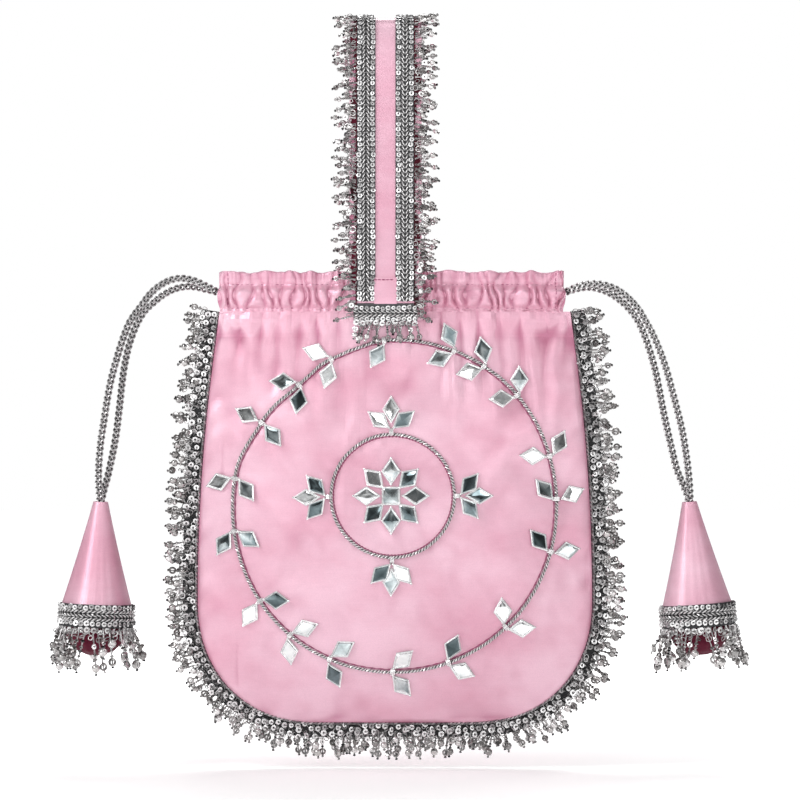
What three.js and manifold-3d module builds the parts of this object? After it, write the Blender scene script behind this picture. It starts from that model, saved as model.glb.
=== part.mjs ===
// A satin drawstring pouch with a strap handle, beaded fringes and mirror embroidery.
// Millimetres, +Z up. The front faces -Y. The origin is the inside of the strap loop's top.
import * as THREE from 'three';
import { mergeVertices } from 'three/addons/utils/BufferGeometryUtils.js';
import Module from 'manifold-3d';

const wasm = await Module();
wasm.setup();

// Clearance between pieces that touch on the real bag
const GAP = 0.3;
// Cloth and trim thicknesses
const CLOTH = 1.6;
const TRIM = 1.8;

// Pouch, from the foot of the casing down
const BAG_SHIFT = 4.9;
const BODY_HEIGHT = 214;
const BODY_TOP_HALF = 91.3;
const BODY_WIDE_HALF = 103;
const CORNER_HEIGHT = 63.7;
const BOTTOM_FLAT_HALF = 39;
const CORNER_ROUNDNESS = 2.2;
const MOUTH_DEPTH = 17;
const BELLY_DEPTH = 22;
const SIDE_CLOSING = 14;

// Drawstring casing and its header
const HANDLE_DROP = 130.1;
const HEADER_HEIGHT = 7.3;
const TUNNEL_HEIGHT = 13.5;
const CASING_HALF = 90.7;
const CASING_SHIFT = 3.1;
const CASING_WALL = 1.15;
const RUN_TURN_NOTCH = 9;
const HEADER_THICKNESS = 2.6;
const GATHER_DEPTH = 1.7;
const RUFFLE_DEPTH = 1.5;
const RUFFLE_LIFT = 0.6;

// Drawstrings: squeezed inside the casing, full outside it
const RUN_DIAMETER = 3.6;
const CORD_DIAMETER = 4.4;

// Strap handle
const STRAP_WIDTH = 37.5;
const STRAP_THICKNESS = 2.2;
const LOOP_RADIUS = 9;
const STRAP_OVERLAP = 5;
const BRAID_OUTER = 15.4;
const BRAID_INNER = 5.2;
const HANDLE_FRINGE_REACH = 13.4;
const ANCHOR_HALF = 16.5;
const ANCHOR_HEIGHT = 9.8;
const ANCHOR_FRINGE_DROP = 13;
const ANCHOR_FRINGE_HALF = 20.5;

// Fringe of the seam
const SEAM_FRINGE_REACH = 18;
const LOCK_PITCH = 13.5;
const LOCK_NOTCH = 0.28;

// Embroidery on the front
const ROPE_RADIUS = 1.05;
const ROPE_LIFT = 0.45;
const RING_TOP_CLEARANCE = 14.8;
const RING_FOOT_CLEARANCE = 27;
const RING_SIDE_CLEARANCE = 18.9;
const RING_SHIFT = -0.3;
const INNER_RING_SHIFT = -0.8;
const INNER_RING_RISE = 5.2;
const INNER_RING_RADIUS = 31.9;
const LEAF_LENGTH = 14.2;
const LEAF_WIDTH = 9.4;
const STONE_HEIGHT = 2.2;
const BEZEL_HEIGHT = 1.5;
const STEM_WIDTH = 2.2;
const STEM_REACH = 2.6;
const STEM_FOOT = 1.4;
const STEM_CROWN = 0.9;
const STEM_LINK = 0.55;
const CLUSTER_OFFSET = 1.2;
const CLUSTER_KNOT = 5;
const FLOWER_SHIFT = -0.9;
const PETAL_DISTANCE = 12.8;
const FLOWER_CENTRE = 9.2;
const FLOWER_BACKING_RADIUS = 8.6;
const FLOWER_BACKING = 0.9;

// Tassels
const CONE_HEIGHT = 53.5;
const CONE_BASE_RADIUS = 18.1;
const CONE_NECK_RADIUS = 3.8;
const NECK_WALL = 1.05;
const KNOT_DROP = 8.6;
const KNOT_HEIGHT = 6.9;
const CORD_SPACING = 4.8;
const BAND_HEIGHT = 12;
const TASSEL_FRINGE_DROP = 26;
const TASSEL_FRINGE_FLARE = 27;
const TASSEL_LOCKS = 14;
const BASE_DOME = 15;
const BASE_TAPER = 1;
const BAND_FLARE = 0.6;

const HEADER_TOP = -HANDLE_DROP;
const CASING_TOP = HEADER_TOP - HEADER_HEIGHT;
const CASING_BOTTOM = CASING_TOP - TUNNEL_HEIGHT;
const BODY_TOP = CASING_BOTTOM - GAP;
const TUNNEL_RADIUS = (RUN_DIAMETER * 2 + GAP) / 2 + GAP;
const TUNNEL_MIDDLE = CASING_TOP - CASING_WALL - TUNNEL_RADIUS;
const BAG_LEFT = CASING_SHIFT - CASING_HALF;
const BAG_RIGHT = CASING_SHIFT + CASING_HALF;
// Depth of the casing's middle plane at its ends, where a drawstring turns from front to back
const CASING_END_DEPTH = TUNNEL_RADIUS + CASING_WALL + 1.5;
// The vine's ring keeps clear of the casing, the sides and the bottom
const RING_X = BAG_SHIFT + RING_SHIFT;
const RING_HALF_WIDTH = BODY_WIDE_HALF - RING_SIDE_CLEARANCE;
const RING_HALF_HEIGHT = (BODY_HEIGHT - RING_TOP_CLEARANCE - RING_FOOT_CLEARANCE) / 2;
const RING_Z = BODY_TOP - RING_TOP_CLEARANCE - RING_HALF_HEIGHT;
const INNER_RING_X = RING_X + INNER_RING_SHIFT;
const INNER_RING_Z = RING_Z + INNER_RING_RISE;
const FLOWER_X = INNER_RING_X + FLOWER_SHIFT;

// Folds gathered by the drawstring. at: share of the casing's half length, depth: share of
// GATHER_DEPTH, reach: share of BODY_HEIGHT that the fold runs down the pouch
const FOLDS = [
  { at: -0.92, depth: 0.6, reach: 0.12 },
  { at: -0.81, depth: 0.9, reach: 0.2 },
  { at: -0.70, depth: 0.8, reach: 0.16 },
  { at: -0.59, depth: 1.0, reach: 0.26 },
  { at: -0.48, depth: 0.8, reach: 0.2 },
  { at: -0.37, depth: 0.9, reach: 0.24 },
  { at: -0.26, depth: 0.6, reach: 0.14 },
  { at: -0.03, depth: 0.0, reach: 0.1 },
  { at: 0.20, depth: 0.6, reach: 0.14 },
  { at: 0.31, depth: 0.9, reach: 0.28 },
  { at: 0.42, depth: 0.8, reach: 0.2 },
  { at: 0.53, depth: 1.0, reach: 0.24 },
  { at: 0.64, depth: 0.8, reach: 0.18 },
  { at: 0.75, depth: 1.0, reach: 0.28 },
  { at: 0.86, depth: 0.7, reach: 0.14 },
];

// Levels down the pouch, as shares of BODY_HEIGHT: close together where it curves most
const FRONT_LEVELS = [0, 0.035, 0.09, 0.17, 0.28, 0.42, 0.57, 0.71, 0.82, 0.9, 0.955, 0.987, 1];
const BACK_LEVELS = [0, 0.05, 0.15, 0.35, 0.6, 0.8, 0.92, 0.98, 1];
// The back is gathered in half as many, wider folds
const BACK_FOLDS = FOLDS.filter((_, i) => i % 2 === 1);
const FOLD_WIDTH = 0.075;
const BACK_FOLD_WIDTH = 0.13;

// Where the sewn rope wanders in or out of a true ellipse. share: of the ellipse's radius
const RING_WANDER = [
  { angle: 0, share: 1.0 },
  { angle: 45, share: 1.008 },
  { angle: 90, share: 1.0 },
  { angle: 112, share: 0.967 },
  { angle: 130, share: 0.935 },
  { angle: 148, share: 0.957 },
  { angle: 168, share: 0.995 },
  { angle: 225, share: 1.01 },
  { angle: 270, share: 1.0 },
  { angle: 315, share: 1.004 },
  { angle: 360, share: 1.0 },
];

// Stems along the vine. angle: round the ring from the right, in degrees. outer, inner: the
// heading of the leaf's tip in the front view, null where the vine has no leaf on that side
const STEMS = [
  { angle: 93.7, outer: null, inner: 240 },
  { angle: 114, outer: 162, inner: 254 },
  { angle: 129, outer: 176, inner: 260 },
  { angle: 148.5, outer: 153, inner: 308 },
  { angle: 170.6, outer: 197, inner: 308 },
  { angle: 189, outer: 238, inner: 326 },
  { angle: 214.8, outer: 238, inner: 358 },
  { angle: 230.5, outer: 276, inner: 19 },
  { angle: 246.8, outer: 293, inner: 32 },
  { angle: 269.5, outer: 310, inner: 44 },
  { angle: 289.4, outer: 337, inner: 67 },
  { angle: 313.3, outer: 4, inner: 95 },
  { angle: 343.9, outer: 7, inner: 130 },
  { angle: 2.1, outer: 22, inner: 133 },
  { angle: 17.5, outer: 62, inner: 177 },
  { angle: 41.3, outer: 91, inner: 186 },
  { angle: 56.7, outer: 102, inner: 193 },
  { angle: 68.7, outer: 115, inner: 202 },
];

// Clusters round the inner ring. angle: of the stem. spread: turn of the side leaves
const CLUSTERS = [
  { name: 'top', angle: 91, spread: 52 },
  { name: 'left', angle: 181, spread: 48 },
  { name: 'bottom', angle: 269, spread: 44 },
  { name: 'right', angle: 0, spread: 50 },
];

// Free strands of the drawstrings, chosen by hand: x and z in the front view, y is their depth.
// The first point leaves the casing, and the last is in the tassel's neck.
const CORD_ROUTES = {
  cord_left_front: [
    [-88.5, -6.8, -140.5], [-93.9, -6.7, -137.6], [-100.6, -6.2, -134.8], [-107.4, -5.6, -133.8],
    [-113.6, -4.9, -135.3], [-119.3, -4.2, -138.7], [-123.8, -3.7, -143.1], [-127.2, -3.4, -147.8],
    [-130.6, -3.2, -152.2], [-133.5, -3, -156.6], [-137.3, -2.8, -166], [-140.5, -2.6, -176.4],
    [-143.3, -2.5, -186.8], [-145.3, -2.4, -197.2], [-146.9, -2.4, -207.6], [-148.5, -2.4, -218],
    [-149.5, -2.4, -228.4], [-149.8, -2.4, -238.8], [-149, -2.4, -250.3], [-149.1, -2.4, -258.2],
  ],
  cord_left_back: [
    [-88.5, 6.8, -140.6], [-93.9, 6.7, -139.3], [-100.6, 6.4, -137.9], [-106.9, 5.9, -138.2],
    [-112.1, 5.4, -139.8], [-116.9, 4.9, -142.6], [-121.4, 4.4, -146.2], [-125.8, 4, -150.4],
    [-129.2, 3.7, -155.6], [-133.4, 3.4, -166], [-136, 3.2, -176.4], [-137.6, 3, -186.8],
    [-138.7, 2.8, -197.2], [-139.9, 2.7, -207.6], [-141.3, 2.6, -218], [-143.3, 2.5, -228.4],
    [-145.4, 2.4, -237.6], [-147.3, 2.4, -244.6], [-148.6, 2.4, -250.3], [-149.1, 2.4, -258.2],
  ],
  cord_right_front: [
    [94.6, -6.8, -140.6], [101.1, -6.7, -137.8], [107.4, -6.3, -136.6], [113.6, -5.7, -137.2],
    [119.3, -5, -139], [124, -4.4, -141.8], [128.2, -3.9, -145.5], [132.2, -3.5, -150.2],
    [135.4, -3.3, -155.6], [138.4, -3.1, -160.8], [143, -2.9, -171.2], [146.6, -2.8, -181.6],
    [149.4, -2.7, -191.8], [152.2, -2.6, -202.4], [154.7, -2.5, -212.8], [156.5, -2.4, -223.2],
    [157.9, -2.4, -233.6], [158.7, -2.4, -243], [158.9, -2.4, -250.3], [159.4, -2.4, -258.2],
  ],
  cord_right_back: [
    [94.6, 6.8, -140.6], [101.1, 6.7, -138.7], [107.4, 6.4, -138.2], [112.8, 6, -139.4],
    [118.2, 5.5, -141.8], [123, 5, -145.2], [127.4, 4.5, -149.4], [131.2, 4.1, -154.4],
    [134.4, 3.8, -160.8], [138.1, 3.5, -171.2], [141, 3.2, -181.6], [143.1, 3, -191.8],
    [145.1, 2.8, -202.4], [147.3, 2.6, -212.8], [149.7, 2.5, -223.2], [152.3, 2.4, -233.6],
    [155.5, 2.4, -241.4], [157.8, 2.4, -247], [158.7, 2.4, -251.6], [159.2, 2.4, -258.2],
  ],
};

// Tassels: neck place and outward lean in degrees
const TASSELS = [
  { side: 'left', x: -148.8, z: -250.3, lean: 2.2 },
  { side: 'right', x: 158.7, z: -250.3, lean: -4.3 },
];

const SATIN = { color: 0xe3a3c1, roughness: 0.42, metalness: 0 };
const DEEP_SATIN = { color: 0x7d2145, roughness: 0.55, metalness: 0 };
const CORDING = { color: 0x9a9798, roughness: 0.4, metalness: 0.55 };
const BEADWORK = { color: 0xb4b2b0, roughness: 0.3, metalness: 0.7 };
const MIRROR = { color: 0xdfe3e4, roughness: 0.08, metalness: 0.95 };

const lerp = THREE.MathUtils.lerp;
const radians = THREE.MathUtils.degToRad;
const point = (x, y, z) => new THREE.Vector3(x, y, z);
const bump = (t) => (Math.abs(t) < 1 ? Math.cos((t * Math.PI) / 2) ** 2 : 0);

function mesh(name, geometry, look) {
  const piece = new THREE.Mesh(geometry, new THREE.MeshStandardMaterial(look));
  piece.name = name;
  return piece;
}

// A geometry from shared points and triangles, turned so that its faces point out.
function closedBody(points, faces) {
  const origin = points[0];
  let volume = 0;
  for (const [a, b, c] of faces) {
    const edge = points[b].clone().sub(origin).cross(points[c].clone().sub(origin));
    volume += points[a].clone().sub(origin).dot(edge);
  }
  const outward = volume > 0 ? faces : faces.map(([a, b, c]) => [a, c, b]);
  const geometry = new THREE.BufferGeometry();
  const values = points.flatMap((p) => [p.x, p.y, p.z]);
  geometry.setAttribute('position', new THREE.Float32BufferAttribute(values, 3));
  geometry.setIndex(outward.flat());
  return geometry;
}

// A body swept through equal rings of points. section: the ring's outline in 2D, for its end caps;
// without one the rings close on themselves.
function loft(rings, section) {
  const count = rings[0].length;
  const faces = [];
  const last = section ? rings.length - 1 : rings.length;
  for (let i = 0; i < last; i++) {
    const next = ((i + 1) % rings.length) * count;
    for (let j = 0; j < count; j++) {
      const k = (j + 1) % count;
      faces.push([i * count + j, i * count + k, next + k], [i * count + j, next + k, next + j]);
    }
  }
  if (section) {
    const outline = section.map(([u, v]) => new THREE.Vector2(u, v));
    const end = (rings.length - 1) * count;
    for (const [a, b, c] of THREE.ShapeUtils.triangulateShape(outline, [])) {
      const flipped = THREE.ShapeUtils.isClockWise(outline);
      const cap = flipped ? [a, b, c] : [a, c, b];
      faces.push(cap, cap.map((v) => end + v).reverse());
    }
  }
  return closedBody(rings.flat(), faces);
}

// A wall between two equal grids of points, closed round its rim.
function wall(outer, inner) {
  const rows = outer.length;
  const columns = outer[0].length;
  const at = (i, j) => i * columns + j;
  const back = rows * columns;
  const faces = [];
  const quad = (a, b, c, d) => faces.push([a, b, c], [a, c, d]);
  for (let i = 0; i < rows - 1; i++) {
    for (let j = 0; j < columns - 1; j++) {
      quad(at(i, j), at(i, j + 1), at(i + 1, j + 1), at(i + 1, j));
      quad(back + at(i, j), back + at(i + 1, j), back + at(i + 1, j + 1), back + at(i, j + 1));
    }
  }
  const rim = [];
  for (let j = 0; j < columns - 1; j++) rim.push(at(0, j));
  for (let i = 0; i < rows - 1; i++) rim.push(at(i, columns - 1));
  for (let j = columns - 1; j > 0; j--) rim.push(at(rows - 1, j));
  for (let i = rows - 1; i > 0; i--) rim.push(at(i, 0));
  rim.forEach((a, i) => {
    const b = rim[(i + 1) % rim.length];
    quad(a, back + a, back + b, b);
  });
  return closedBody([...outer.flat(), ...inner.flat()], faces);
}

function solid(geometry) {
  const bare = geometry.clone();
  bare.deleteAttribute('normal');
  bare.deleteAttribute('uv');
  const shared = mergeVertices(bare, 1e-4);
  return new wasm.Manifold(new wasm.Mesh({
    numProp: 3,
    vertProperties: Float32Array.from(shared.getAttribute('position').array),
    triVerts: Uint32Array.from(shared.getIndex().array),
  }));
}

function geometryOf(body) {
  const result = body.getMesh();
  const geometry = new THREE.BufferGeometry();
  geometry.setAttribute('position', new THREE.BufferAttribute(result.vertProperties, 3));
  geometry.setIndex(new THREE.BufferAttribute(result.triVerts, 1));
  return geometry;
}

const fuse = (geometries) => geometryOf(geometries.map(solid).reduce((a, b) => a.add(b)));

function boxBetween(low, high) {
  const size = high.clone().sub(low);
  const middle = low.clone().add(high).multiplyScalar(0.5);
  return new THREE.BoxGeometry(size.x, size.y, size.z).translate(middle.x, middle.y, middle.z);
}

function tube(points, radius, sides, steps) {
  const disc = new THREE.Shape();
  for (let i = 0; i < sides; i++) {
    const turn = (i / sides) * Math.PI * 2;
    const [u, v] = [radius * Math.cos(turn), radius * Math.sin(turn)];
    if (i === 0) disc.moveTo(u, v);
    else disc.lineTo(u, v);
  }
  disc.closePath();
  const path = new THREE.CatmullRomCurve3(points);
  return new THREE.ExtrudeGeometry(disc, { steps, extrudePath: path, bevelEnabled: false });
}

// A round rod with a ring at each point of its route
function roundRod(route, radius, sides) {
  const rings = route.map((at, i) => {
    const before = route[Math.max(0, i - 1)];
    const after = route[Math.min(route.length - 1, i + 1)];
    const along = after.clone().sub(before).normalize();
    const across = along.clone().cross(point(0, 0, 1)).normalize();
    const up = across.clone().cross(along);
    return Array.from({ length: sides }, (_, j) => {
      const turn = (j / sides) * Math.PI * 2;
      return at.clone()
        .addScaledVector(across, radius * Math.cos(turn))
        .addScaledVector(up, radius * Math.sin(turn));
    });
  });
  const disc = rings[0].map((_, j) => {
    const turn = (j / sides) * Math.PI * 2;
    return [Math.cos(turn), Math.sin(turn)];
  });
  return loft(rings, disc);
}

// Height of the gathers at a share across and a share down the pouch
function gather(facing, across, down) {
  const [folds, width] = facing < 0 ? [FOLDS, FOLD_WIDTH] : [BACK_FOLDS, BACK_FOLD_WIDTH];
  let height = 0;
  for (const fold of folds) {
    height += fold.depth * bump((across - fold.at) / width) * bump(down / (fold.reach * 1.4));
  }
  return height * GATHER_DEPTH;
}

// Pouch outline: half of its width at a share down its height
function halfWidth(down) {
  const drop = down * BODY_HEIGHT;
  const straight = BODY_HEIGHT - CORNER_HEIGHT;
  if (drop <= straight) {
    return BODY_WIDE_HALF - (BODY_WIDE_HALF - BODY_TOP_HALF) * (1 - drop / straight) ** 2;
  }
  const t = (drop - straight) / CORNER_HEIGHT;
  const round = Math.max(0, 1 - t ** CORNER_ROUNDNESS) ** (1 / CORNER_ROUNDNESS);
  return BOTTOM_FLAT_HALF + (BODY_WIDE_HALF - BOTTOM_FLAT_HALF) * round;
}

// Distance of the cloth's middle from the bag's middle plane
function pouchDepth(facing, across, down) {
  const seam = GAP / 2 + CLOTH / 2;
  const closing = THREE.MathUtils.smoothstep((down * BODY_HEIGHT) / SIDE_CLOSING, 0, 1);
  const edge = lerp(CASING_END_DEPTH, seam, closing);
  const fall = Math.max(0, (down - 0.55) / 0.45);
  const swell = lerp(MOUTH_DEPTH, BELLY_DEPTH, THREE.MathUtils.smoothstep(down, 0, 0.5));
  const centre = seam + (swell - seam) * Math.max(0, 1 - fall ** 2.4) ** 0.6;
  const flat = Math.cos((across * Math.PI) / 2);
  const full = Math.max(0, 1 - across ** 2) ** 0.6;
  const profile = lerp(flat, full, THREE.MathUtils.smoothstep(down, 0, 0.3));
  return edge + Math.max(0, centre - edge) * profile
    + gather(facing, across, down) * (1 - across ** 8);
}

// Columns across the pouch: the sides, every fold's crest and the valleys between
function foldColumns(facing) {
  const crests = (facing < 0 ? FOLDS : BACK_FOLDS).map((fold) => fold.at);
  const columns = [-1, -0.975];
  crests.forEach((crest, i) => {
    columns.push(crest);
    if (i < crests.length - 1) columns.push((crest + crests[i + 1]) / 2);
  });
  return [...columns, 0.935, 0.975, 1];
}

// One side of the pouch: facing is -1 for the front and 1 for the back
function pouchPanel(facing, levels) {
  const columns = foldColumns(facing);
  const middle = levels.map((down) => columns.map((across) => point(
    BAG_SHIFT + across * halfWidth(down),
    facing * pouchDepth(facing, across, down),
    BODY_TOP - down * BODY_HEIGHT,
  )));
  const out = point(0, facing, 0);
  const skins = [1, -1].map((layer) => middle.map((row, i) => row.map((p, j) => {
    const rim = j === 0 || j === columns.length - 1 || i === levels.length - 1;
    const normal = out.clone();
    if (!rim) {
      const along = row[j + 1].clone().sub(row[j - 1]);
      const below = middle[i + 1][j];
      const above = i > 0 ? middle[i - 1][j] : p;
      normal.crossVectors(along, below.clone().sub(above)).normalize();
      if (normal.y * facing < 0) normal.negate();
      if (i === 0) normal.setZ(0).normalize();
    }
    return p.clone().addScaledVector(normal, (layer * CLOTH) / 2);
  })));
  return wall(skins[0], skins[1]);
}

// Depth of the casing's middle plane along its length
function casingDepth(across) {
  return lerp(CASING_END_DEPTH, MOUTH_DEPTH, Math.cos((across * Math.PI) / 2));
}

// Casing and header in one: outer skin swept along the bag's mouth, with the tunnel cut through
function casing(facing) {
  const belly = TUNNEL_RADIUS + CASING_WALL;
  const header = HEADER_THICKNESS / 2;
  const foot = CLOTH;
  const shoulder = TUNNEL_MIDDLE - TUNNEL_RADIUS * 0.9;
  const stitching = CASING_TOP - CASING_WALL * 1.4;
  // d: depth from the middle plane, z: height, wave: share of the gathers, sway: of the ruffle
  const section = [
    { d: foot, z: CASING_BOTTOM, wave: 0.3, sway: 0 },
    { d: belly * 0.86, z: shoulder, wave: 0.8, sway: 0 },
    { d: belly, z: TUNNEL_MIDDLE, wave: 1, sway: 0 },
    { d: belly * 0.8, z: stitching, wave: 0.8, sway: 0 },
    { d: header, z: CASING_TOP + CASING_WALL, wave: 0, sway: 0.5 },
    { d: header, z: HEADER_TOP, wave: 0, sway: 1 },
    { d: -header, z: HEADER_TOP, wave: 0, sway: 1 },
    { d: -header, z: CASING_TOP + CASING_WALL, wave: 0, sway: 0.5 },
    { d: -belly * 0.8, z: stitching, wave: 0, sway: 0 },
    { d: -belly, z: TUNNEL_MIDDLE, wave: 0, sway: 0 },
    { d: -belly * 0.86, z: shoulder, wave: 0, sway: 0 },
    { d: -foot, z: CASING_BOTTOM, wave: 0, sway: 0 },
  ];
  const rings = foldColumns(facing).map((across) => section.map(({ d, z, wave, sway }) => {
    const rise = gather(facing, across, 0);
    const crest = rise / GATHER_DEPTH;
    const ruffle = sway * RUFFLE_DEPTH * (crest - 0.5);
    return point(
      CASING_SHIFT + across * CASING_HALF,
      facing * (casingDepth(across) + d + wave * rise + ruffle),
      sway === 1 ? z - RUFFLE_LIFT * (1 - crest) : z,
    );
  }));
  const skin = loft(rings, section.map(({ d, z }) => [d, z]));
  // The tunnel's cutter runs past both ends
  const past = 1.02;
  const tunnelStations = [-past, -0.8, -0.55, -0.3, 0, 0.3, 0.55, 0.8, past];
  const bore = Array.from({ length: 8 }, (_, i) => {
    const turn = ((i + 0.5) / 8) * Math.PI * 2;
    const radius = TUNNEL_RADIUS / Math.cos(Math.PI / 8);
    return [radius * Math.cos(turn), TUNNEL_MIDDLE + radius * Math.sin(turn)];
  });
  const tunnel = loft(tunnelStations.map((across) => bore.map(([d, z]) => point(
    CASING_SHIFT + across * CASING_HALF,
    facing * (casingDepth(Math.max(-1, Math.min(1, across))) + d),
    z,
  ))), bore);
  let body = solid(skin).subtract(solid(tunnel));
  // The inner wall is open at each end, where the other drawstring turns round
  const turnHeight = RUN_DIAMETER / 2 + GAP * 2;
  const runSag = GAP + 0.1;
  const turnLevel = TUNNEL_MIDDLE - (RUN_DIAMETER + GAP) / 2;
  for (const end of [BAG_LEFT, BAG_RIGHT]) {
    const inward = end < CASING_SHIFT ? 1 : -1;
    const xs = [end - inward, end + inward * RUN_TURN_NOTCH];
    const ys = [0, facing * CASING_END_DEPTH];
    body = body.subtract(solid(boxBetween(
      point(Math.min(...xs), Math.min(...ys), turnLevel - turnHeight - runSag),
      point(Math.max(...xs), Math.max(...ys), turnLevel + turnHeight),
    )));
  }
  return geometryOf(body);
}

// The drawstring inside the casings: out of its own end in front, round the far end, and back
function drawstringRun(side) {
  const own = side === 'left' ? -1 : 1;
  const offset = (RUN_DIAMETER + GAP) / 2;
  const turnX = (CASING_HALF - RUN_DIAMETER / 2 - CASING_WALL - CASING_END_DEPTH) / CASING_HALF;
  const steps = 9;
  // A run ends just inside the casing's end
  const inside = 0.998;
  const leg = (facing) => Array.from({ length: steps + 1 }, (_, i) => {
    const share = lerp(-inside, turnX, i / steps);
    const twist = lerp(Math.PI / 2, -Math.PI / 2, i / steps);
    return point(
      CASING_SHIFT - own * share * CASING_HALF,
      facing * (casingDepth(share) + own * offset * Math.cos(twist)),
      TUNNEL_MIDDLE + offset * Math.sin(twist),
    );
  });
  const start = casingDepth(turnX);
  const bend = [-58, -29, 0, 29, 58].map((degrees) => point(
    CASING_SHIFT - own * (turnX * CASING_HALF + CASING_END_DEPTH * Math.cos(radians(degrees))),
    start * Math.sin(radians(degrees)),
    TUNNEL_MIDDLE - offset,
  ));
  return roundRod([...leg(-1), ...bend, ...leg(1).reverse()], RUN_DIAMETER / 2, 6);
}

// Depth of the cloth's face at a place in the front view
const caster = new THREE.Raycaster();
const farInFront = -BODY_HEIGHT;
function seatOn(pieces, x, z) {
  caster.set(point(x, farInFront, z), point(0, 1, 0));
  const hit = caster.intersectObjects(pieces)[0];
  return hit ? hit.point.y : -CLOTH;
}

// The cloth round a place: its face, its outward direction and how far it rises beside the place
function clothAt(x, z, reach) {
  const face = (dx, dz) => seatOn([frontPanel], x + dx, z + dz);
  const up = point(
    (face(reach, 0) - face(-reach, 0)) / (2 * reach),
    -1,
    (face(0, reach) - face(0, -reach)) / (2 * reach),
  ).normalize();
  const centre = point(x, face(0, 0), z);
  let rise = 0;
  for (const u of [-1, -0.5, 0, 0.5, 1]) {
    for (const v of [-1, -0.5, 0, 0.5, 1]) {
      if (Math.abs(u) + Math.abs(v) > 1) continue;
      const beside = point(x + u * reach, face(u * reach, v * reach), z + v * reach);
      rise = Math.max(rise, beside.sub(centre).dot(up));
    }
  }
  return { centre, up, rise };
}

function outermost(pieces, half, z) {
  const ys = [];
  for (let x = -half; x <= half; x += half / 8) ys.push(seatOn(pieces, x, z));
  return -Math.min(...ys);
}

const frontPanel = mesh('front_panel', pouchPanel(-1, FRONT_LEVELS), SATIN);
const backPanel = mesh('back_panel', pouchPanel(1, BACK_LEVELS), SATIN);
const frontCasing = mesh('front_casing', casing(-1), SATIN);
const backCasing = mesh('back_casing', casing(1), SATIN);
for (const piece of [frontPanel, frontCasing]) {
  piece.material.side = THREE.DoubleSide;
  piece.updateMatrixWorld();
}

// Strap: its middle line in the YZ plane, from the front foot over the top to the back foot
const STRAP_FOOT = CASING_BOTTOM - STRAP_OVERLAP;
function strapLine() {
  const clear = GAP + STRAP_THICKNESS / 2;
  const half = STRAP_WIDTH / 2;
  const bag = [frontPanel, frontCasing];
  // The strap bends out to pass over the casing, and leans in again at the header
  const bendRoom = 0.8;
  const headerLean = 0.6;
  const foot = Math.max(...[1.5, 0, -2].map((dz) => outermost(bag, half, STRAP_FOOT + dz)));
  const belly = Math.max(
    outermost(bag, half, TUNNEL_MIDDLE),
    outermost(bag, half, TUNNEL_MIDDLE - TUNNEL_RADIUS * 0.9),
  );
  const radius = LOOP_RADIUS + STRAP_THICKNESS / 2;
  const side = [
    [foot + clear + bendRoom, STRAP_FOOT],
    [belly + clear, TUNNEL_MIDDLE - TUNNEL_RADIUS],
    [belly + clear, TUNNEL_MIDDLE + 2],
    [belly + clear - headerLean, HEADER_TOP],
    [lerp(radius, belly, 0.62), HEADER_TOP * 0.62],
    [lerp(radius, belly, 0.2), HEADER_TOP * 0.28],
    [radius, -LOOP_RADIUS],
    [radius * Math.SQRT1_2, -LOOP_RADIUS + radius * Math.SQRT1_2],
  ];
  const front = side.map(([y, z]) => point(0, -y, z));
  const top = point(0, 0, STRAP_THICKNESS / 2);
  const back = side.map(([y, z]) => point(0, y, z)).reverse();
  return new THREE.CatmullRomCurve3([...front, top, ...back]);
}
const strapCurve = strapLine();
const STRAP_LENGTH = strapCurve.getLength();

// Places along the strap, as shares of its length: close together over the loop's top
const LOOP_SHARE = (Math.PI * LOOP_RADIUS * 0.5) / STRAP_LENGTH;
const LEG_SHARES = [0, 0.03, 0.055, 0.08, 0.15, 0.3, 0.41].filter((share) => share < 0.5 - LOOP_SHARE);
const LOOP_SHARES = [-1, -0.75, -0.5, -0.25, 0, 0.25, 0.5, 0.75, 1].map((t) => 0.5 + t * LOOP_SHARE);
const STRAP_SHARES = [...LEG_SHARES, ...LOOP_SHARES, ...LEG_SHARES.map((t) => 1 - t).reverse()];

// A strip that follows the strap. section(i) gives [x, n] pairs, n out from the strap's middle
function alongStrap(shares, section) {
  const rings = shares.map((share, i) => {
    const at = strapCurve.getPointAt(share);
    const along = strapCurve.getTangentAt(share);
    const out = point(0, -along.z, along.y);
    return section(i).map(([x, n]) => at.clone().addScaledVector(out, n).setX(x));
  });
  return loft(rings, section(0));
}

const strapFace = STRAP_THICKNESS / 2;
const braidFoot = (ANCHOR_HEIGHT + GAP) / STRAP_LENGTH;

function handleStrap() {
  const half = STRAP_WIDTH / 2;
  const section = [[-half, -strapFace], [half, -strapFace], [half, strapFace], [-half, strapFace]];
  return alongStrap(STRAP_SHARES, () => section);
}

function handleBraid(sign) {
  const low = strapFace + GAP;
  const high = low + TRIM;
  const section = [
    [sign * BRAID_INNER, low], [sign * BRAID_OUTER, low],
    [sign * (BRAID_OUTER - TRIM), high], [sign * (BRAID_INNER + TRIM), high],
  ];
  const between = STRAP_SHARES.filter((share) => share > braidFoot && share < 1 - braidFoot);
  return alongStrap([braidFoot, ...between, 1 - braidFoot], () => section);
}

function handleFringe(sign) {
  const low = strapFace + GAP * 3;
  const steps = 2 * Math.round((STRAP_LENGTH * (1 - 2 * braidFoot)) / LOCK_PITCH);
  const shares = Array.from({ length: steps + 1 }, (_, i) => lerp(braidFoot, 1 - braidFoot, i / steps));
  const root = BRAID_OUTER + GAP;
  return alongStrap(shares, (i) => {
    const reach = HANDLE_FRINGE_REACH * (i % 2 ? 1 : 1 - LOCK_NOTCH);
    return [[sign * root, low], [sign * (root + reach), low + 0.4], [sign * root, low + TRIM]];
  });
}

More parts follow.
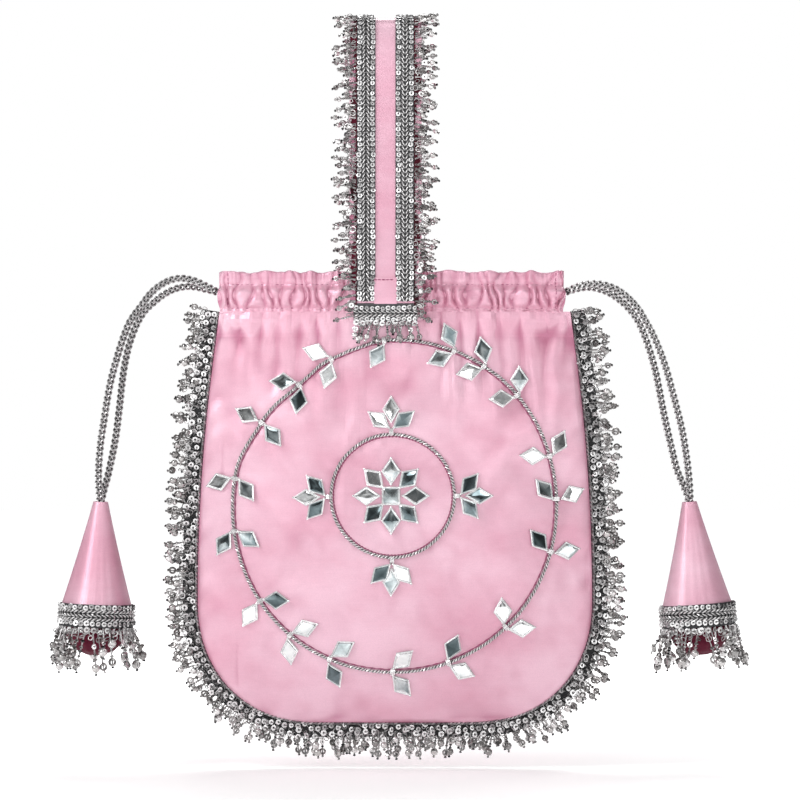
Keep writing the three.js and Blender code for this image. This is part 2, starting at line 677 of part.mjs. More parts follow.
// Trim across a foot of the strap, seated on the strap's outer face
function anchorBraid(facing) {
  const end = GAP / STRAP_LENGTH;
  const shares = facing < 0 ? [end, braidFoot - end] : [1 - braidFoot + end, 1 - end];
  const low = strapFace + GAP;
  const section = [
    [-ANCHOR_HALF, low], [ANCHOR_HALF, low], [ANCHOR_HALF, low + TRIM], [-ANCHOR_HALF, low + TRIM],
  ];
  return alongStrap(shares, () => section);
}

function anchorFringe(facing) {
  const foot = strapCurve.getPointAt(0);
  const slant = -Math.min(0, strapCurve.getTangentAt(0).y);
  const top = foot.z - slant * (strapFace + GAP + TRIM) - GAP;
  const depth = -foot.y + strapFace + GAP;
  const locks = 6;
  const rings = [];
  for (let i = 0; i <= locks * 2; i++) {
    const share = (i / locks) - 1;
    const drop = ANCHOR_FRINGE_DROP * (i % 2 ? 1 : 1 - LOCK_NOTCH);
    const wide = lerp(ANCHOR_HALF, ANCHOR_FRINGE_HALF, drop / ANCHOR_FRINGE_DROP);
    rings.push([
      point(share * ANCHOR_HALF, facing * depth, top),
      point(share * ANCHOR_HALF, facing * (depth + TRIM), top),
      point(share * wide, facing * (depth + TRIM), top - drop),
    ]);
  }
  return loft(rings, [[0, 0], [1, 0], [1, -1]]);
}

// Points and outward directions along the seam, from the top left round to the top right
function seamLine(pitch) {
  const side = [];
  for (let i = 0; i <= 160; i++) {
    const down = 1 - (1 - i / 160) ** 1.6;
    side.push(point(halfWidth(down), 0, BODY_TOP - down * BODY_HEIGHT));
  }
  const left = side.map((p) => point(BAG_SHIFT - p.x, 0, p.z));
  const right = side.map((p) => point(BAG_SHIFT + p.x, 0, p.z)).reverse();
  const path = [...left, ...right];
  const lengths = [0];
  for (let i = 1; i < path.length; i++) {
    lengths.push(lengths[i - 1] + path[i].distanceTo(path[i - 1]));
  }
  const total = lengths[lengths.length - 1];
  const steps = 2 * Math.round(total / pitch);
  const placed = [];
  for (let i = 0, k = 0; i <= steps; i++) {
    const goal = (i / steps) * total;
    while (k < path.length - 2 && lengths[k + 1] < goal) k++;
    const share = (goal - lengths[k]) / (lengths[k + 1] - lengths[k]);
    placed.push(path[k].clone().lerp(path[k + 1], share));
  }
  return placed.map((p, i) => {
    const before = placed[Math.max(0, i - 1)];
    const after = placed[Math.min(placed.length - 1, i + 1)];
    const along = after.clone().sub(before).normalize();
    return { at: p, out: point(along.z, 0, -along.x) };
  });
}

function seamFringe() {
  const root = CLOTH + GAP / 2;
  const line = seamLine(LOCK_PITCH);
  const rings = line.map(({ at, out }, i) => {
    const reach = SEAM_FRINGE_REACH * (i % 2 ? 1 : 1 - LOCK_NOTCH);
    const place = (n, y) => at.clone().addScaledVector(out, n).setY(y);
    return [place(GAP, -root), place(reach, 0), place(GAP, root)];
  });
  return loft(rings, [[0, -1], [1, 0], [0, 1]]);
}

// A point of the vine's ring in the front view, with its outward and forward directions
function wander(degrees) {
  const turn = ((degrees % 360) + 360) % 360;
  const k = RING_WANDER.findIndex((row) => row.angle > turn) - 1;
  const [a, b] = [RING_WANDER[k], RING_WANDER[k + 1]];
  const t = (turn - a.angle) / (b.angle - a.angle);
  return lerp(a.share, b.share, t * t * (3 - 2 * t));
}

function vinePoint(degrees) {
  const share = wander(degrees);
  return new THREE.Vector2(
    RING_X + RING_HALF_WIDTH * share * Math.cos(radians(degrees)),
    RING_Z + RING_HALF_HEIGHT * share * Math.sin(radians(degrees)),
  );
}

function innerPoint(degrees) {
  return new THREE.Vector2(
    INNER_RING_X + INNER_RING_RADIUS * Math.cos(radians(degrees)),
    INNER_RING_Z + INNER_RING_RADIUS * Math.sin(radians(degrees)),
  );
}

// A rope laid on the cloth in a closed loop
function sewnRope(outline, steps, sides) {
  const seats = Array.from({ length: steps }, (_, i) => {
    const { x, y: z } = outline((i / steps) * 360);
    const { centre, up, rise } = clothAt(x, z, STEM_REACH);
    return { centre: centre.addScaledVector(up, rise + ROPE_LIFT + ROPE_RADIUS), up };
  });
  const rings = seats.map(({ centre, up }, i) => {
    const before = seats[(i + steps - 1) % steps].centre;
    const after = seats[(i + 1) % steps].centre;
    const across = after.clone().sub(before).cross(up).normalize();
    return Array.from({ length: sides }, (_, j) => {
      const turn = ((j + 0.25) / sides) * Math.PI * 2;
      return centre.clone()
        .addScaledVector(across, ROPE_RADIUS * Math.cos(turn))
        .addScaledVector(up, ROPE_RADIUS * Math.sin(turn));
    });
  });
  return loft(rings, null);
}

// A faceted mirror in its silver setting, lying in XY with its long corners along X
function setMirror(length, width) {
  // share: of the outline, z: height
  const levels = [
    { share: 1, z: 0 },
    { share: 1, z: BEZEL_HEIGHT },
    { share: 0.78, z: STONE_HEIGHT * 0.88 },
    { share: 0.5, z: STONE_HEIGHT },
  ];
  const corners = [[length / 2, 0], [0, width / 2], [-length / 2, 0], [0, -width / 2]];
  const rings = levels.map(({ share, z }) => corners.map(([x, y]) => point(x * share, y * share, z)));
  return loft(rings, corners);
}

// The place on the cloth of a piece made in XY: its X axis along the heading in the front view,
// clear of the cloth within its reach by the gap
function placeOnCloth(x, z, heading, reach) {
  const { centre, up, rise } = clothAt(x, z, reach);
  const flat = point(Math.cos(radians(heading)), 0, Math.sin(radians(heading)));
  const forward = flat.addScaledVector(up, -flat.dot(up)).normalize();
  const side = up.clone().cross(forward);
  const place = new THREE.Matrix4().makeBasis(forward, side, up);
  return place.setPosition(centre.addScaledVector(up, rise + GAP));
}

// The silver knot that crosses over the rope and joins the two leaves of a stem
function stemKnot() {
  const inside = ROPE_RADIUS + GAP * 2;
  const foot = inside + STEM_FOOT;
  const top = ROPE_LIFT + ROPE_RADIUS * 2;
  const arch = new THREE.Shape([
    new THREE.Vector2(-foot, 0), new THREE.Vector2(-inside, 0),
    new THREE.Vector2(-inside * 0.75, top), new THREE.Vector2(inside * 0.75, top),
    new THREE.Vector2(inside, 0), new THREE.Vector2(foot, 0),
    new THREE.Vector2(inside, top + STEM_CROWN), new THREE.Vector2(-inside, top + STEM_CROWN),
  ]);
  const bar = new THREE.ExtrudeGeometry(arch, { depth: STEM_WIDTH, bevelEnabled: false });
  return bar.translate(0, 0, -STEM_WIDTH / 2).rotateX(Math.PI / 2);
}

// A leaf's mirror and the silver link that holds its corner to the stem's knot
function leaf(stem, outward, sign, heading, knotPlace) {
  const rootDistance = ROPE_RADIUS + GAP * 2;
  const base = stem.clone().addScaledVector(outward, sign * rootDistance);
  const x = base.x + (LEAF_LENGTH / 2) * Math.cos(radians(heading));
  const z = base.y + (LEAF_LENGTH / 2) * Math.sin(radians(heading));
  const leafPlace = placeOnCloth(x, z, heading, LEAF_LENGTH * 0.4);
  const middle = BEZEL_HEIGHT / 2;
  const onKnot = point(sign * (rootDistance + STEM_FOOT / 2), 0, middle).applyMatrix4(knotPlace);
  const onLeaf = point(LEAF_LENGTH * -0.36, 0, middle).applyMatrix4(leafPlace);
  return [
    setMirror(LEAF_LENGTH, LEAF_WIDTH).applyMatrix4(leafPlace),
    roundRod([onKnot, onLeaf], STEM_LINK, 4),
  ];
}

function leafPair({ angle, outer, inner }) {
  const stem = vinePoint(angle);
  const ahead = vinePoint(angle + 1).sub(vinePoint(angle - 1)).normalize();
  const outward = new THREE.Vector2(ahead.y, -ahead.x);
  const radial = THREE.MathUtils.radToDeg(Math.atan2(outward.y, outward.x));
  const knotPlace = placeOnCloth(stem.x, stem.y, radial, STEM_REACH);
  const parts = [stemKnot().applyMatrix4(knotPlace)];
  if (outer !== null) parts.push(...leaf(stem, outward, 1, outer, knotPlace));
  if (inner !== null) parts.push(...leaf(stem, outward, -1, inner, knotPlace));
  return fuse(parts);
}

function cluster({ angle, spread }) {
  const stem = innerPoint(angle);
  const outward = new THREE.Vector2(Math.cos(radians(angle)), Math.sin(radians(angle)));
  const clear = ROPE_RADIUS + GAP + CLUSTER_OFFSET;
  const centre = stem.clone().addScaledVector(outward, clear + LEAF_LENGTH * 0.55);
  const parts = [];
  for (const turn of [-spread, 0, spread]) {
    const far = turn === 0 ? LEAF_LENGTH * 0.72 : LEAF_LENGTH * 0.5 + 1;
    const stone = setMirror(LEAF_LENGTH, LEAF_WIDTH * 0.92).translate(far, 0, 0);
    stone.rotateZ(radians(turn)).translate(-LEAF_LENGTH * 0.55, 0, 0);
    parts.push(stone);
  }
  const knot = new THREE.BoxGeometry(CLUSTER_KNOT, CLUSTER_KNOT * 0.8, BEZEL_HEIGHT * 0.8);
  parts.push(knot.translate(CLUSTER_KNOT * 0.68 - LEAF_LENGTH * 0.55, 0, BEZEL_HEIGHT * 0.4));
  const place = placeOnCloth(centre.x, centre.y, angle, LEAF_LENGTH * 0.8);
  return fuse(parts).applyMatrix4(place);
}

function flower() {
  const centre = setMirror(FLOWER_CENTRE * Math.SQRT2, FLOWER_CENTRE * Math.SQRT2);
  const parts = [centre.rotateZ(Math.PI / 4)];
  for (let i = 0; i < 8; i++) {
    const petal = setMirror(LEAF_LENGTH, LEAF_WIDTH * 0.94).translate(PETAL_DISTANCE, 0, 0);
    parts.push(petal.rotateZ((i / 8) * Math.PI * 2));
  }
  const [wide, high] = [FLOWER_BACKING_RADIUS, FLOWER_BACKING];
  const backing = new THREE.CylinderGeometry(wide, wide, high, 8).rotateX(Math.PI / 2);
  parts.push(backing.translate(0, 0, high / 2));
  const place = placeOnCloth(FLOWER_X, INNER_RING_Z, 0, PETAL_DISTANCE + LEAF_LENGTH * 0.4);
  return fuse(parts).applyMatrix4(place);
}

// Tassels hang down -Z from their necks
const neckInside = CONE_NECK_RADIUS - NECK_WALL;
function coneRadius(down) {
  return lerp(CONE_NECK_RADIUS, CONE_BASE_RADIUS, Math.min(1, down / CONE_HEIGHT));
}
function coneInside(down) {
  return lerp(neckInside, CONE_BASE_RADIUS - CLOTH, Math.min(1, down / CONE_HEIGHT));
}

// A ring round two cords side by side at the neck, growing round further down
function neckRing(radius, down, sides) {
  const spacing = (CORD_SPACING / 2) * Math.max(0, 1 - down / CONE_HEIGHT);
  return Array.from({ length: sides }, (_, i) => {
    const turn = (i / sides) * Math.PI * 2;
    const apart = i % (sides / 2) === 0 ? 0 : Math.sign(Math.sin(turn)) * spacing;
    return point(radius * Math.cos(turn), radius * Math.sin(turn) + apart, -down);
  });
}

function tasselCone() {
  const levels = [0, CONE_HEIGHT, CONE_HEIGHT + BAND_HEIGHT * 0.8];
  const outside = levels.map((down) => neckRing(coneRadius(down), down, 16));
  const inside = levels.map((down) => neckRing(coneInside(down), down, 16)).reverse();
  return loft([...outside, ...inside], null);
}

function tasselKnot() {
  const levels = [
    { down: KNOT_DROP, share: 0.6 },
    { down: KNOT_DROP + KNOT_HEIGHT * 0.56, share: 1 },
    { down: KNOT_DROP + KNOT_HEIGHT, share: 0.6 },
  ];
  const rings = levels.map(({ down, share }) => (
    neckRing((coneInside(down) - GAP * 1.4) * share, down, 8)
  ));
  return loft(rings, rings[1].map((p) => [p.x, p.y]));
}

function ringOf(profile, sides) {
  const outline = profile.map(([r, z]) => new THREE.Vector2(r, z));
  return new THREE.LatheGeometry(outline, sides).rotateX(Math.PI / 2);
}

function tasselBand() {
  const inside = (CONE_BASE_RADIUS + GAP) / Math.cos(Math.PI / 16);
  const outside = inside + TRIM;
  const [top, bottom] = [-CONE_HEIGHT, -CONE_HEIGHT - BAND_HEIGHT];
  const profile = [
    [inside, top], [inside, bottom], [outside + BAND_FLARE, bottom], [outside, top], [inside, top],
  ];
  return ringOf(profile, 16);
}

function tasselBase() {
  // The flats of the cone's inside lie closer in than its corners
  const radius = (CONE_BASE_RADIUS - CLOTH) * Math.cos(Math.PI / 16) - GAP;
  const top = -CONE_HEIGHT + CLOTH;
  const bottom = -CONE_HEIGHT - BAND_HEIGHT;
  const profile = [
    [0, bottom - BASE_DOME], [radius * 0.52, bottom - BASE_DOME * 0.87],
    [radius * 0.86, bottom - BASE_DOME * 0.5], [radius, bottom], [radius - BASE_TAPER, top], [0, top],
  ];
  return ringOf(profile, 12);
}

function tasselFringe() {
  const top = -CONE_HEIGHT - BAND_HEIGHT - GAP;
  const root = CONE_BASE_RADIUS + GAP + BAND_FLARE;
  const steps = TASSEL_LOCKS * 2;
  const rings = Array.from({ length: steps }, (_, i) => {
    const turn = (i / steps) * Math.PI * 2;
    const drop = TASSEL_FRINGE_DROP * (i % 2 ? 1 : 1 - LOCK_NOTCH);
    const flare = lerp(root, TASSEL_FRINGE_FLARE, drop / TASSEL_FRINGE_DROP);
    const place = (r, z) => point(r * Math.cos(turn), r * Math.sin(turn), z);
    return [
      place(root, top), place(root + TRIM, top), place(flare, top - drop),
    ];
  });
  return loft(rings, null);
}

function tassel({ side, x, z, lean }) {
  const group = new THREE.Group();
  group.position.set(x, 0, z);
  group.rotation.y = radians(lean);
  group.add(mesh(`tassel_cone_${side}`, tasselCone(), SATIN));
  group.add(mesh(`tassel_band_${side}`, tasselBand(), BEADWORK));
  group.add(mesh(`tassel_fringe_${side}`, tasselFringe(), BEADWORK));
  group.add(mesh(`tassel_base_${side}`, tasselBase(), DEEP_SATIN));
  group.add(mesh(`tassel_knot_${side}`, tasselKnot(), CORDING));
  return group;
}

const reticule = new THREE.Group();
reticule.name = 'reticule';

const pouch = new THREE.Group();
pouch.add(frontPanel, backPanel, frontCasing, backCasing);
pouch.add(mesh('seam_fringe', seamFringe(), BEADWORK));

const drawstrings = new THREE.Group();
for (const side of ['left', 'right']) {
  drawstrings.add(mesh(`drawstring_run_${side}`, drawstringRun(side), CORDING));
}
for (const [name, route] of Object.entries(CORD_ROUTES)) {
  const points = route.map(([x, y, z]) => point(x, y, z));
  drawstrings.add(mesh(name, tube(points, CORD_DIAMETER / 2, 8, 14), CORDING));
}
for (const row of TASSELS) drawstrings.add(tassel(row));

const handle = new THREE.Group();
handle.add(mesh('handle_strap', handleStrap(), SATIN));
for (const [side, sign] of [['left', -1], ['right', 1]]) {
  handle.add(mesh(`handle_braid_${side}`, handleBraid(sign), BEADWORK));
  handle.add(mesh(`handle_fringe_${side}`, handleFringe(sign), BEADWORK));
}
for (const [face, facing] of [['front', -1], ['back', 1]]) {
  handle.add(mesh(`anchor_braid_${face}`, anchorBraid(facing), BEADWORK));
  handle.add(mesh(`anchor_fringe_${face}`, anchorFringe(facing), BEADWORK));
}

const embroidery = new THREE.Group();
embroidery.add(mesh('vine_ring', sewnRope(vinePoint, 46, 5), CORDING));
embroidery.add(mesh('inner_ring', sewnRope(innerPoint, 22, 5), CORDING));
STEMS.forEach((stem, i) => {
  const number = String(i + 1).padStart(2, '0');
  embroidery.add(mesh(`leaf_pair_${number}`, leafPair(stem), MIRROR));
});
for (const row of CLUSTERS) embroidery.add(mesh(`cluster_${row.name}`, cluster(row), MIRROR));
embroidery.add(mesh('flower', flower(), MIRROR));

reticule.add(pouch, drawstrings, handle, embroidery);

export default reticule;
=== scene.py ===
import math

import bpy
import numpy as np
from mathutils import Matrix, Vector


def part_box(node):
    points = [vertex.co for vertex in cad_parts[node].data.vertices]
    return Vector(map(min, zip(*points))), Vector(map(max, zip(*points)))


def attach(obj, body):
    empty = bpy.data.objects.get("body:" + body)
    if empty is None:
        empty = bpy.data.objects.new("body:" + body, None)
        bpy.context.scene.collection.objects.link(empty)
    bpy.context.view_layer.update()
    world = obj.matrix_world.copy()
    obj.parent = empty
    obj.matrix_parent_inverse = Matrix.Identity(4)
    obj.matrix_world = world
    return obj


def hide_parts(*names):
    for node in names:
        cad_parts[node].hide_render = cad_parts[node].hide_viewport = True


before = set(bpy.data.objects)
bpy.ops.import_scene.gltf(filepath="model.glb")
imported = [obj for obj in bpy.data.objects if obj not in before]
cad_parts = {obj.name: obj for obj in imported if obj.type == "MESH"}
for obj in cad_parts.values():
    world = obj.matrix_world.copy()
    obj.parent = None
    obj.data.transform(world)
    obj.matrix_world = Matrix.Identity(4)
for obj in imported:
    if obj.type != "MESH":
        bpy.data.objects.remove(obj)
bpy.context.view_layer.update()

# A satin drawstring pouch with beaded fringes and mirror embroidery.
# Lengths are in millimetres here, and become metres where an object is made.
MM = 0.001
TAU = 2 * math.pi
RNG = np.random.default_rng(11)

# The picture: what its middle looks at, and how wide it is at the bag
VIEW_CENTRE = (7.54, -197.2)
VIEW_WIDTH = 416
VIEW_DEPTH = 12
CAMERA_DISTANCE = 2600
SENSOR = 36

# Pouch
GAP = 0.3
CLOTH = 1.6
BAG_SHIFT = 4.9
BODY_HEIGHT = 214
BODY_TOP_HALF = 91.3
BODY_WIDE_HALF = 103
CORNER_HEIGHT = 63.7
BOTTOM_FLAT_HALF = 39
CORNER_ROUNDNESS = 2.2
MOUTH_DEPTH = 17
BELLY_DEPTH = 22
SIDE_CLOSING = 14
HEADER_TOP = -130.1
CASING_TOP = HEADER_TOP - 7.3
CASING_BOTTOM = CASING_TOP - 13.5
BODY_TOP = CASING_BOTTOM - GAP
CASING_HALF = 90.7
CASING_SHIFT = 3.1
TUNNEL_RADIUS = 4.05
CASING_WALL = 1.15
TUNNEL_MIDDLE = CASING_TOP - CASING_WALL - TUNNEL_RADIUS
CASING_END_DEPTH = TUNNEL_RADIUS + CASING_WALL + 1.5
GATHER_DEPTH = 1.7

# Cords and ropes. A pitch is the length in which a strand goes once round
CORD_DIAMETER = 4.4
CORD_PITCH = 11.8
RUN_DIAMETER = 3.6
RUN_PITCH = 10
ROPE_RADIUS = 1.05
ROPE_PITCH = 3.5
TRIM_ROPE_PITCH = 4.8
RING_CENTRE = (4.6, -252.1)
RING_HALF = (84.1, 86.1)
INNER_CENTRE = (3.8, -246.9)
INNER_RADIUS = 31.9
FLOWER_CENTRE = (2.9, -246.9)

# Mirrors
LEAF_LENGTH = 14.2
LEAF_WIDTH = 9.4
STONE_HEIGHT = 2.3
PETAL_DISTANCE = 12.8
PETAL_WIDTH = LEAF_WIDTH * 1.03
FLOWER_SQUARE = 9.2

# Strap and its trims
STRAP_WIDTH = 37.5
STRAP_THICKNESS = 2.2
STRAP_STEP = 1.2
TRIM_HEIGHT = STRAP_THICKNESS / 2 + 0.15
LOOP_RADIUS = 9
BRAID_INNER = 5.2
BRAID_OUTER = 15.4
ANCHOR_HALF = 16.5
ANCHOR_HEIGHT = 9.8
ANCHOR_POINTS = 14
SEQUIN = 3.3
BRAID_ROPE = 0.88
BRAID_SEQUIN = 2.6
EDGE_CLUSTER = 10.4

# Tassels
CONE_HEIGHT = 53.5
CONE_BASE_RADIUS = 18.1
CONE_NECK_RADIUS = 3.8
CORD_SPACING = 4.8
BAND_HEIGHT = 12
KNOT_TOP = 9.6
TASSELS = {"left": (-148.8, -250.3, 2.2), "right": (158.7, -250.3, -4.3)}

# Places in the frame that the strap and the floor follow
STRAP_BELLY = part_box("handle_strap")[1].y / MM - STRAP_THICKNESS / 2
STRAP_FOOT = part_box("anchor_fringe_back")[0].y / MM - STRAP_THICKNESS / 2 - GAP
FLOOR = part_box("seam_fringe")[0].z / MM - 6


# Camera
def new_object(name, data):
    made = bpy.data.objects.new(name, data)
    bpy.context.collection.objects.link(made)
    return made


def make_camera():
    camera = new_object("camera", bpy.data.cameras.new("camera"))
    camera.location = (VIEW_CENTRE[0] * MM, -CAMERA_DISTANCE * MM, VIEW_CENTRE[1] * MM)
    camera.rotation_euler = (math.pi / 2, 0, 0)
    camera.data.sensor_width = SENSOR
    camera.data.lens = SENSOR * (CAMERA_DISTANCE - VIEW_DEPTH) / VIEW_WIDTH
    camera.data.clip_end = 100
    bpy.context.scene.camera = camera


make_camera()


# Small mathematics
def unit(vectors):
    vectors = np.asarray(vectors, float)
    return vectors / np.linalg.norm(vectors, axis=-1, keepdims=True)


def smoothstep(value, low, high):
    t = np.clip((value - low) / (high - low), 0, 1)
    return t * t * (3 - 2 * t)


def lerp(a, b, t):
    return a + (b - a) * t


def table(columns, *rows):
    """Rows with named columns, each as a dictionary."""
    return [dict(zip(columns.split(), row)) for row in rows]


def columns_of(rows):
    """A table's columns as arrays."""
    return np.array([list(row.values()) for row in rows], float).T


def smooth_line(points, step):
    """A centripetal Catmull-Rom line through the points, with a point about every step."""
    points = np.asarray(points, float)
    ends = [2 * points[0] - points[1], 2 * points[-1] - points[-2]]
    every = np.vstack([ends[:1], points, ends[1:]])
    fine = []
    t = np.linspace(0, 1, 24, endpoint=False)[:, None]
    for a, b, c, d in zip(every, every[1:], every[2:], every[3:]):
        ab, bc, cd = (math.sqrt(np.linalg.norm(q - p)) for p, q in ((a, b), (b, c), (c, d)))
        leave = ((b - a) / ab - (c - a) / (ab + bc) + (c - b) / bc) * bc
        reach = ((c - b) / bc - (d - b) / (bc + cd) + (d - c) / cd) * bc
        fine.append(
            b + leave * t + (3 * (c - b) - 2 * leave - reach) * t**2
            + (2 * (b - c) + leave + reach) * t**3
        )
    return spaced(np.vstack([*fine, points[-1:]]), step)


def read_at(goals, places, values):
    """Rows of values that are known at the places, read at the goals."""
    return np.stack([np.interp(goals, places, column) for column in np.transpose(values)], axis=-1)


def travelled_along(line):
    """How far along a line each of its points is."""
    return np.concatenate([[0], np.cumsum(np.linalg.norm(np.diff(line, axis=0), axis=1))])


def spaced(line, step, closed=False):
    """The line again, with a point about every step along it."""
    line = np.asarray(line, float)
    if closed:
        line = np.vstack([line, line[:1]])
    travelled = travelled_along(line)
    count = max(2, round(travelled[-1] / step))
    goals = np.linspace(0, travelled[-1], count + 1)
    if closed:
        goals = goals[:-1]
    return read_at(goals, travelled, line)


def tangents(line, closed=False):
    if closed:
        return unit(np.roll(line, -1, 0) - np.roll(line, 1, 0))
    return unit(np.gradient(line, axis=0))


def full_turn(count):
    """Angles all the way round, one for each of count points."""
    return np.arange(count) / count * TAU


def frames_along(line, up, closed=False):
    """Across and up directions along a line. up: about where up is, one or one for each point"""
    ahead = tangents(line, closed)
    up = np.broadcast_to(np.asarray(up, float), line.shape)
    across = unit(np.cross(ahead, up))
    return across, np.cross(across, ahead)


class Track:
    """A line and the directions at its points, read at any distance along it."""

    def __init__(self, line, normals, headings=None):
        self.line = line
        self.normals = normals
        self.headings = headings
        self.travelled = travelled_along(line)
        self.length = self.travelled[-1]

    def place(self, distance):
        return read_at(distance, self.travelled, self.line)

    def normal(self, distance):
        return unit(read_at(distance, self.travelled, self.normals))

    def heading(self, distance):
        return unit(read_at(distance, self.travelled, self.headings))

    def ahead(self, distance):
        return unit(self.place(min(distance + 1, self.length)) - self.place(max(distance - 1, 0)))


# Forms: points in millimetres, the faces on them, and a tint for each point: a tone, which in places is
# painted shade or light
class Form:
    def __init__(self, points, quads=(), tris=(), tint=0.5):
        self.points = np.asarray(points, float).reshape(-1, 3)
        self.quads = np.asarray(quads, int).reshape(-1, 4)
        self.tris = np.asarray(tris, int).reshape(-1, 3)
        self.tint = np.broadcast_to(np.asarray(tint, float), len(self.points)).copy()

    def outward(self):
        """The form turned so that its faces point out."""
        split = np.vstack([self.quads[:, [0, 1, 2]], self.quads[:, [0, 2, 3]], self.tris])
        a, b, c = (self.points[split[:, k]] - self.points[0] for k in range(3))
        if (a * np.cross(b, c)).sum() < 0:
            self.quads = self.quads[:, ::-1]
            self.tris = self.tris[:, ::-1]
        return self

    def moved(self, basis, origin):
        return Form(self.points @ np.asarray(basis).T + origin, self.quads, self.tris, self.tint)


def join(forms):
    forms = list(forms)
    starts = np.cumsum([0] + [len(form.points) for form in forms[:-1]])
    return Form(
        np.concatenate([form.points for form in forms]),
        np.concatenate([form.quads + start for form, start in zip(forms, starts)]),
        np.concatenate([form.tris + start for form, start in zip(forms, starts)]),
        np.concatenate([form.tint for form in forms]),
    )


def grid_quads(rows, columns, wrap_rows=False, wrap_columns=False):
    i, j = np.meshgrid(
        np.arange(rows if wrap_rows else rows - 1),
        np.arange(columns if wrap_columns else columns - 1),
        indexing="ij",
    )
    i, j = i.ravel(), j.ravel()
    k, m = (i + 1) % rows, (j + 1) % columns
    return np.stack([i * columns + j, i * columns + m, k * columns + m, k * columns + j], axis=1)


def loft(rings, closed=False, tint=0.5):
    """A body through equal rings of points, with flat ends unless it closes on itself."""
    rings = np.asarray(rings, float)
    rows, columns = rings.shape[:2]
    quads = grid_quads(rows, columns, closed, True)
    points, tris = rings.reshape(-1, 3), []
    if not closed:
        centres = [rings[0].mean(axis=0), rings[-1].mean(axis=0)]
        points = np.vstack([points, centres])
        j = np.arange(columns)
        for start, centre, turn in ((0, rows * columns, 1), ((rows - 1) * columns, rows * columns + 1, -1)):
            fan = np.stack([np.full(columns, centre), start + (j + 1) % columns, start + j], axis=1)
            tris.append(fan[:, ::turn])
        tris = np.vstack(tris)
    return Form(points, quads, tris, tint).outward()


def rod(line, radius, sides=6, up=(0, 0, 1), closed=False, tint=0.5, crest=False):
    """A round rod along a line; up isn't along it. crest: painted shade, pale towards up and dark at its
    sides
    """
    across, raised = frames_along(line, up, closed)
    turn = full_turn(sides) + math.pi / 2
    # Painted shade: each strand pale on its crest and dark at its sides, where the strands meet
    if crest:
        shades = tint * (0.2 + 0.8 * np.clip(np.sin(turn), 0, 1))
        tint = np.concatenate([np.tile(shades, len(line)), [0.0] * (0 if closed else 2)])
    radius = np.broadcast_to(np.asarray(radius, float), len(line))[:, None, None]
    circle = np.cos(turn)[None, :, None] * across[:, None] + np.sin(turn)[None, :, None] * raised[:, None]
    return loft(line[:, None] + radius * circle, closed, tint)


def lathe(profile, sides, tint=0.5):
    """A ring of revolution about Z with a closed profile of (radius, height) pairs."""
    rings = [[(r * math.cos(a), r * math.sin(a), z) for r, z in profile] for a in full_turn(sides)]
    return loft(rings, True, tint)


def ribbon(low, high, rise, tint=0.5):
    """A flat band between two lines, as thick as rise."""
    return loft(np.stack([low, high, high + rise, low + rise], axis=1), tint=tint)


def sheet_form(outer, inner, tint=0.5):
    """A wall between two equal grids of points, closed round its rim."""
    rows, columns = outer.shape[:2]
    skin = grid_quads(rows, columns)
    back = rows * columns
    top = np.arange(columns - 1)
    right = np.arange(rows - 1) * columns + columns - 1
    bottom = (rows - 1) * columns + np.arange(columns - 1, 0, -1)
    left = np.arange(rows - 1, 0, -1) * columns
    rim = np.concatenate([top, right, bottom, left])
    following = np.roll(rim, -1)
    edge = np.stack([rim, back + rim, back + following, following], axis=1)
    points = np.vstack([outer.reshape(-1, 3), inner.reshape(-1, 3)])
    return Form(points, np.vstack([skin, back + skin[:, ::-1], edge]), (), tint).outward()


def wound(line, across, raised, angle, distance):
    """A line that winds round another, and its directions outward."""
    radial = np.cos(angle)[:, None] * across + np.sin(angle)[:, None] * raised
    return line + radial * np.reshape(distance, (-1, 1)), radial


def rope(line, up, radius, pitch, closed=False, tint=0.5, way=1):
    """Two strands twisted round a line. radius: of the whole rope"""
    across, raised = frames_along(line, up, closed)
    length = travelled_along(line)[-1]
    turns = max(1, round(length / pitch)) if closed else length / pitch
    share = np.arange(len(line)) / (len(line) if closed else len(line) - 1)
    strand_radius = radius * 0.5
    # A dark core: painted shade in the grooves between the strands
    forms = [rod(line, radius * 0.6, 4, up, closed, 0.0)]
    for start in (0, 0.5):
        angle = way * (share * turns + start) * TAU
        strand, radial = wound(line, across, raised, angle, radius - strand_radius)
        # Each strand's tint paints shade at its sides
        forms.append(rod(strand, strand_radius, 4, radial, closed, tint, True))
    return join(forms)


def plait(line, up, radius, pitch, strands=4):
    """A round plait: strands one way and as many the other, each over two and under two."""
    across, raised = frames_along(line, up)
    travelled = travelled_along(line)
    strand_radius = radius * 0.31
    swing = radius * 0.15
    middle = radius - strand_radius - swing * 0.8
    # A dark core: painted shade in the grooves between the strands
    forms = [rod(line, radius * 0.66, 6, up, tint=0.0)]
    for way in (1, -1):
        for k in range(strands):
            angle = way * travelled / pitch * TAU + k / strands * TAU
            distance = middle + way * swing * np.sin(2 * angle)
            strand, radial = wound(line, across, raised, angle, distance)
            # Each strand's tint paints shade at its sides
            forms.append(rod(strand, strand_radius, 4, radial, False, RNG.uniform(0.62, 0.85), True))
    return join(forms)


# Materials
def new_material(name, **values):
    """A material and its shader. values: plain ones on the shader's sockets, with _ for a space"""
    made = bpy.data.materials.new(name)
    made.use_nodes = True
    shader = made.node_tree.nodes["Principled BSDF"]
    for socket, value in values.items():
        shader.inputs[socket.replace("_", " ")].default_value = value
    return made, shader


def add_node(owner, kind, inputs=(), **settings):
    """A node of a material or world. inputs: sockets, each with a value or an output to link"""
    node = owner.node_tree.nodes.new(kind)
    for key, value in settings.items():
        setattr(node, key, value)
    for socket, value in dict(inputs).items():
        if isinstance(value, bpy.types.NodeSocket):
            owner.node_tree.links.new(value, node.inputs[socket])
        else:
            node.inputs[socket].default_value = value
    return node


def stretched(material, scale):
    """Object coordinates, scaled; the scale is in features a metre."""
    place = add_node(material, "ShaderNodeTexCoord").outputs["Object"]
    return add_node(material, "ShaderNodeMapping", {"Vector": place, "Scale": scale}).outputs["Vector"]


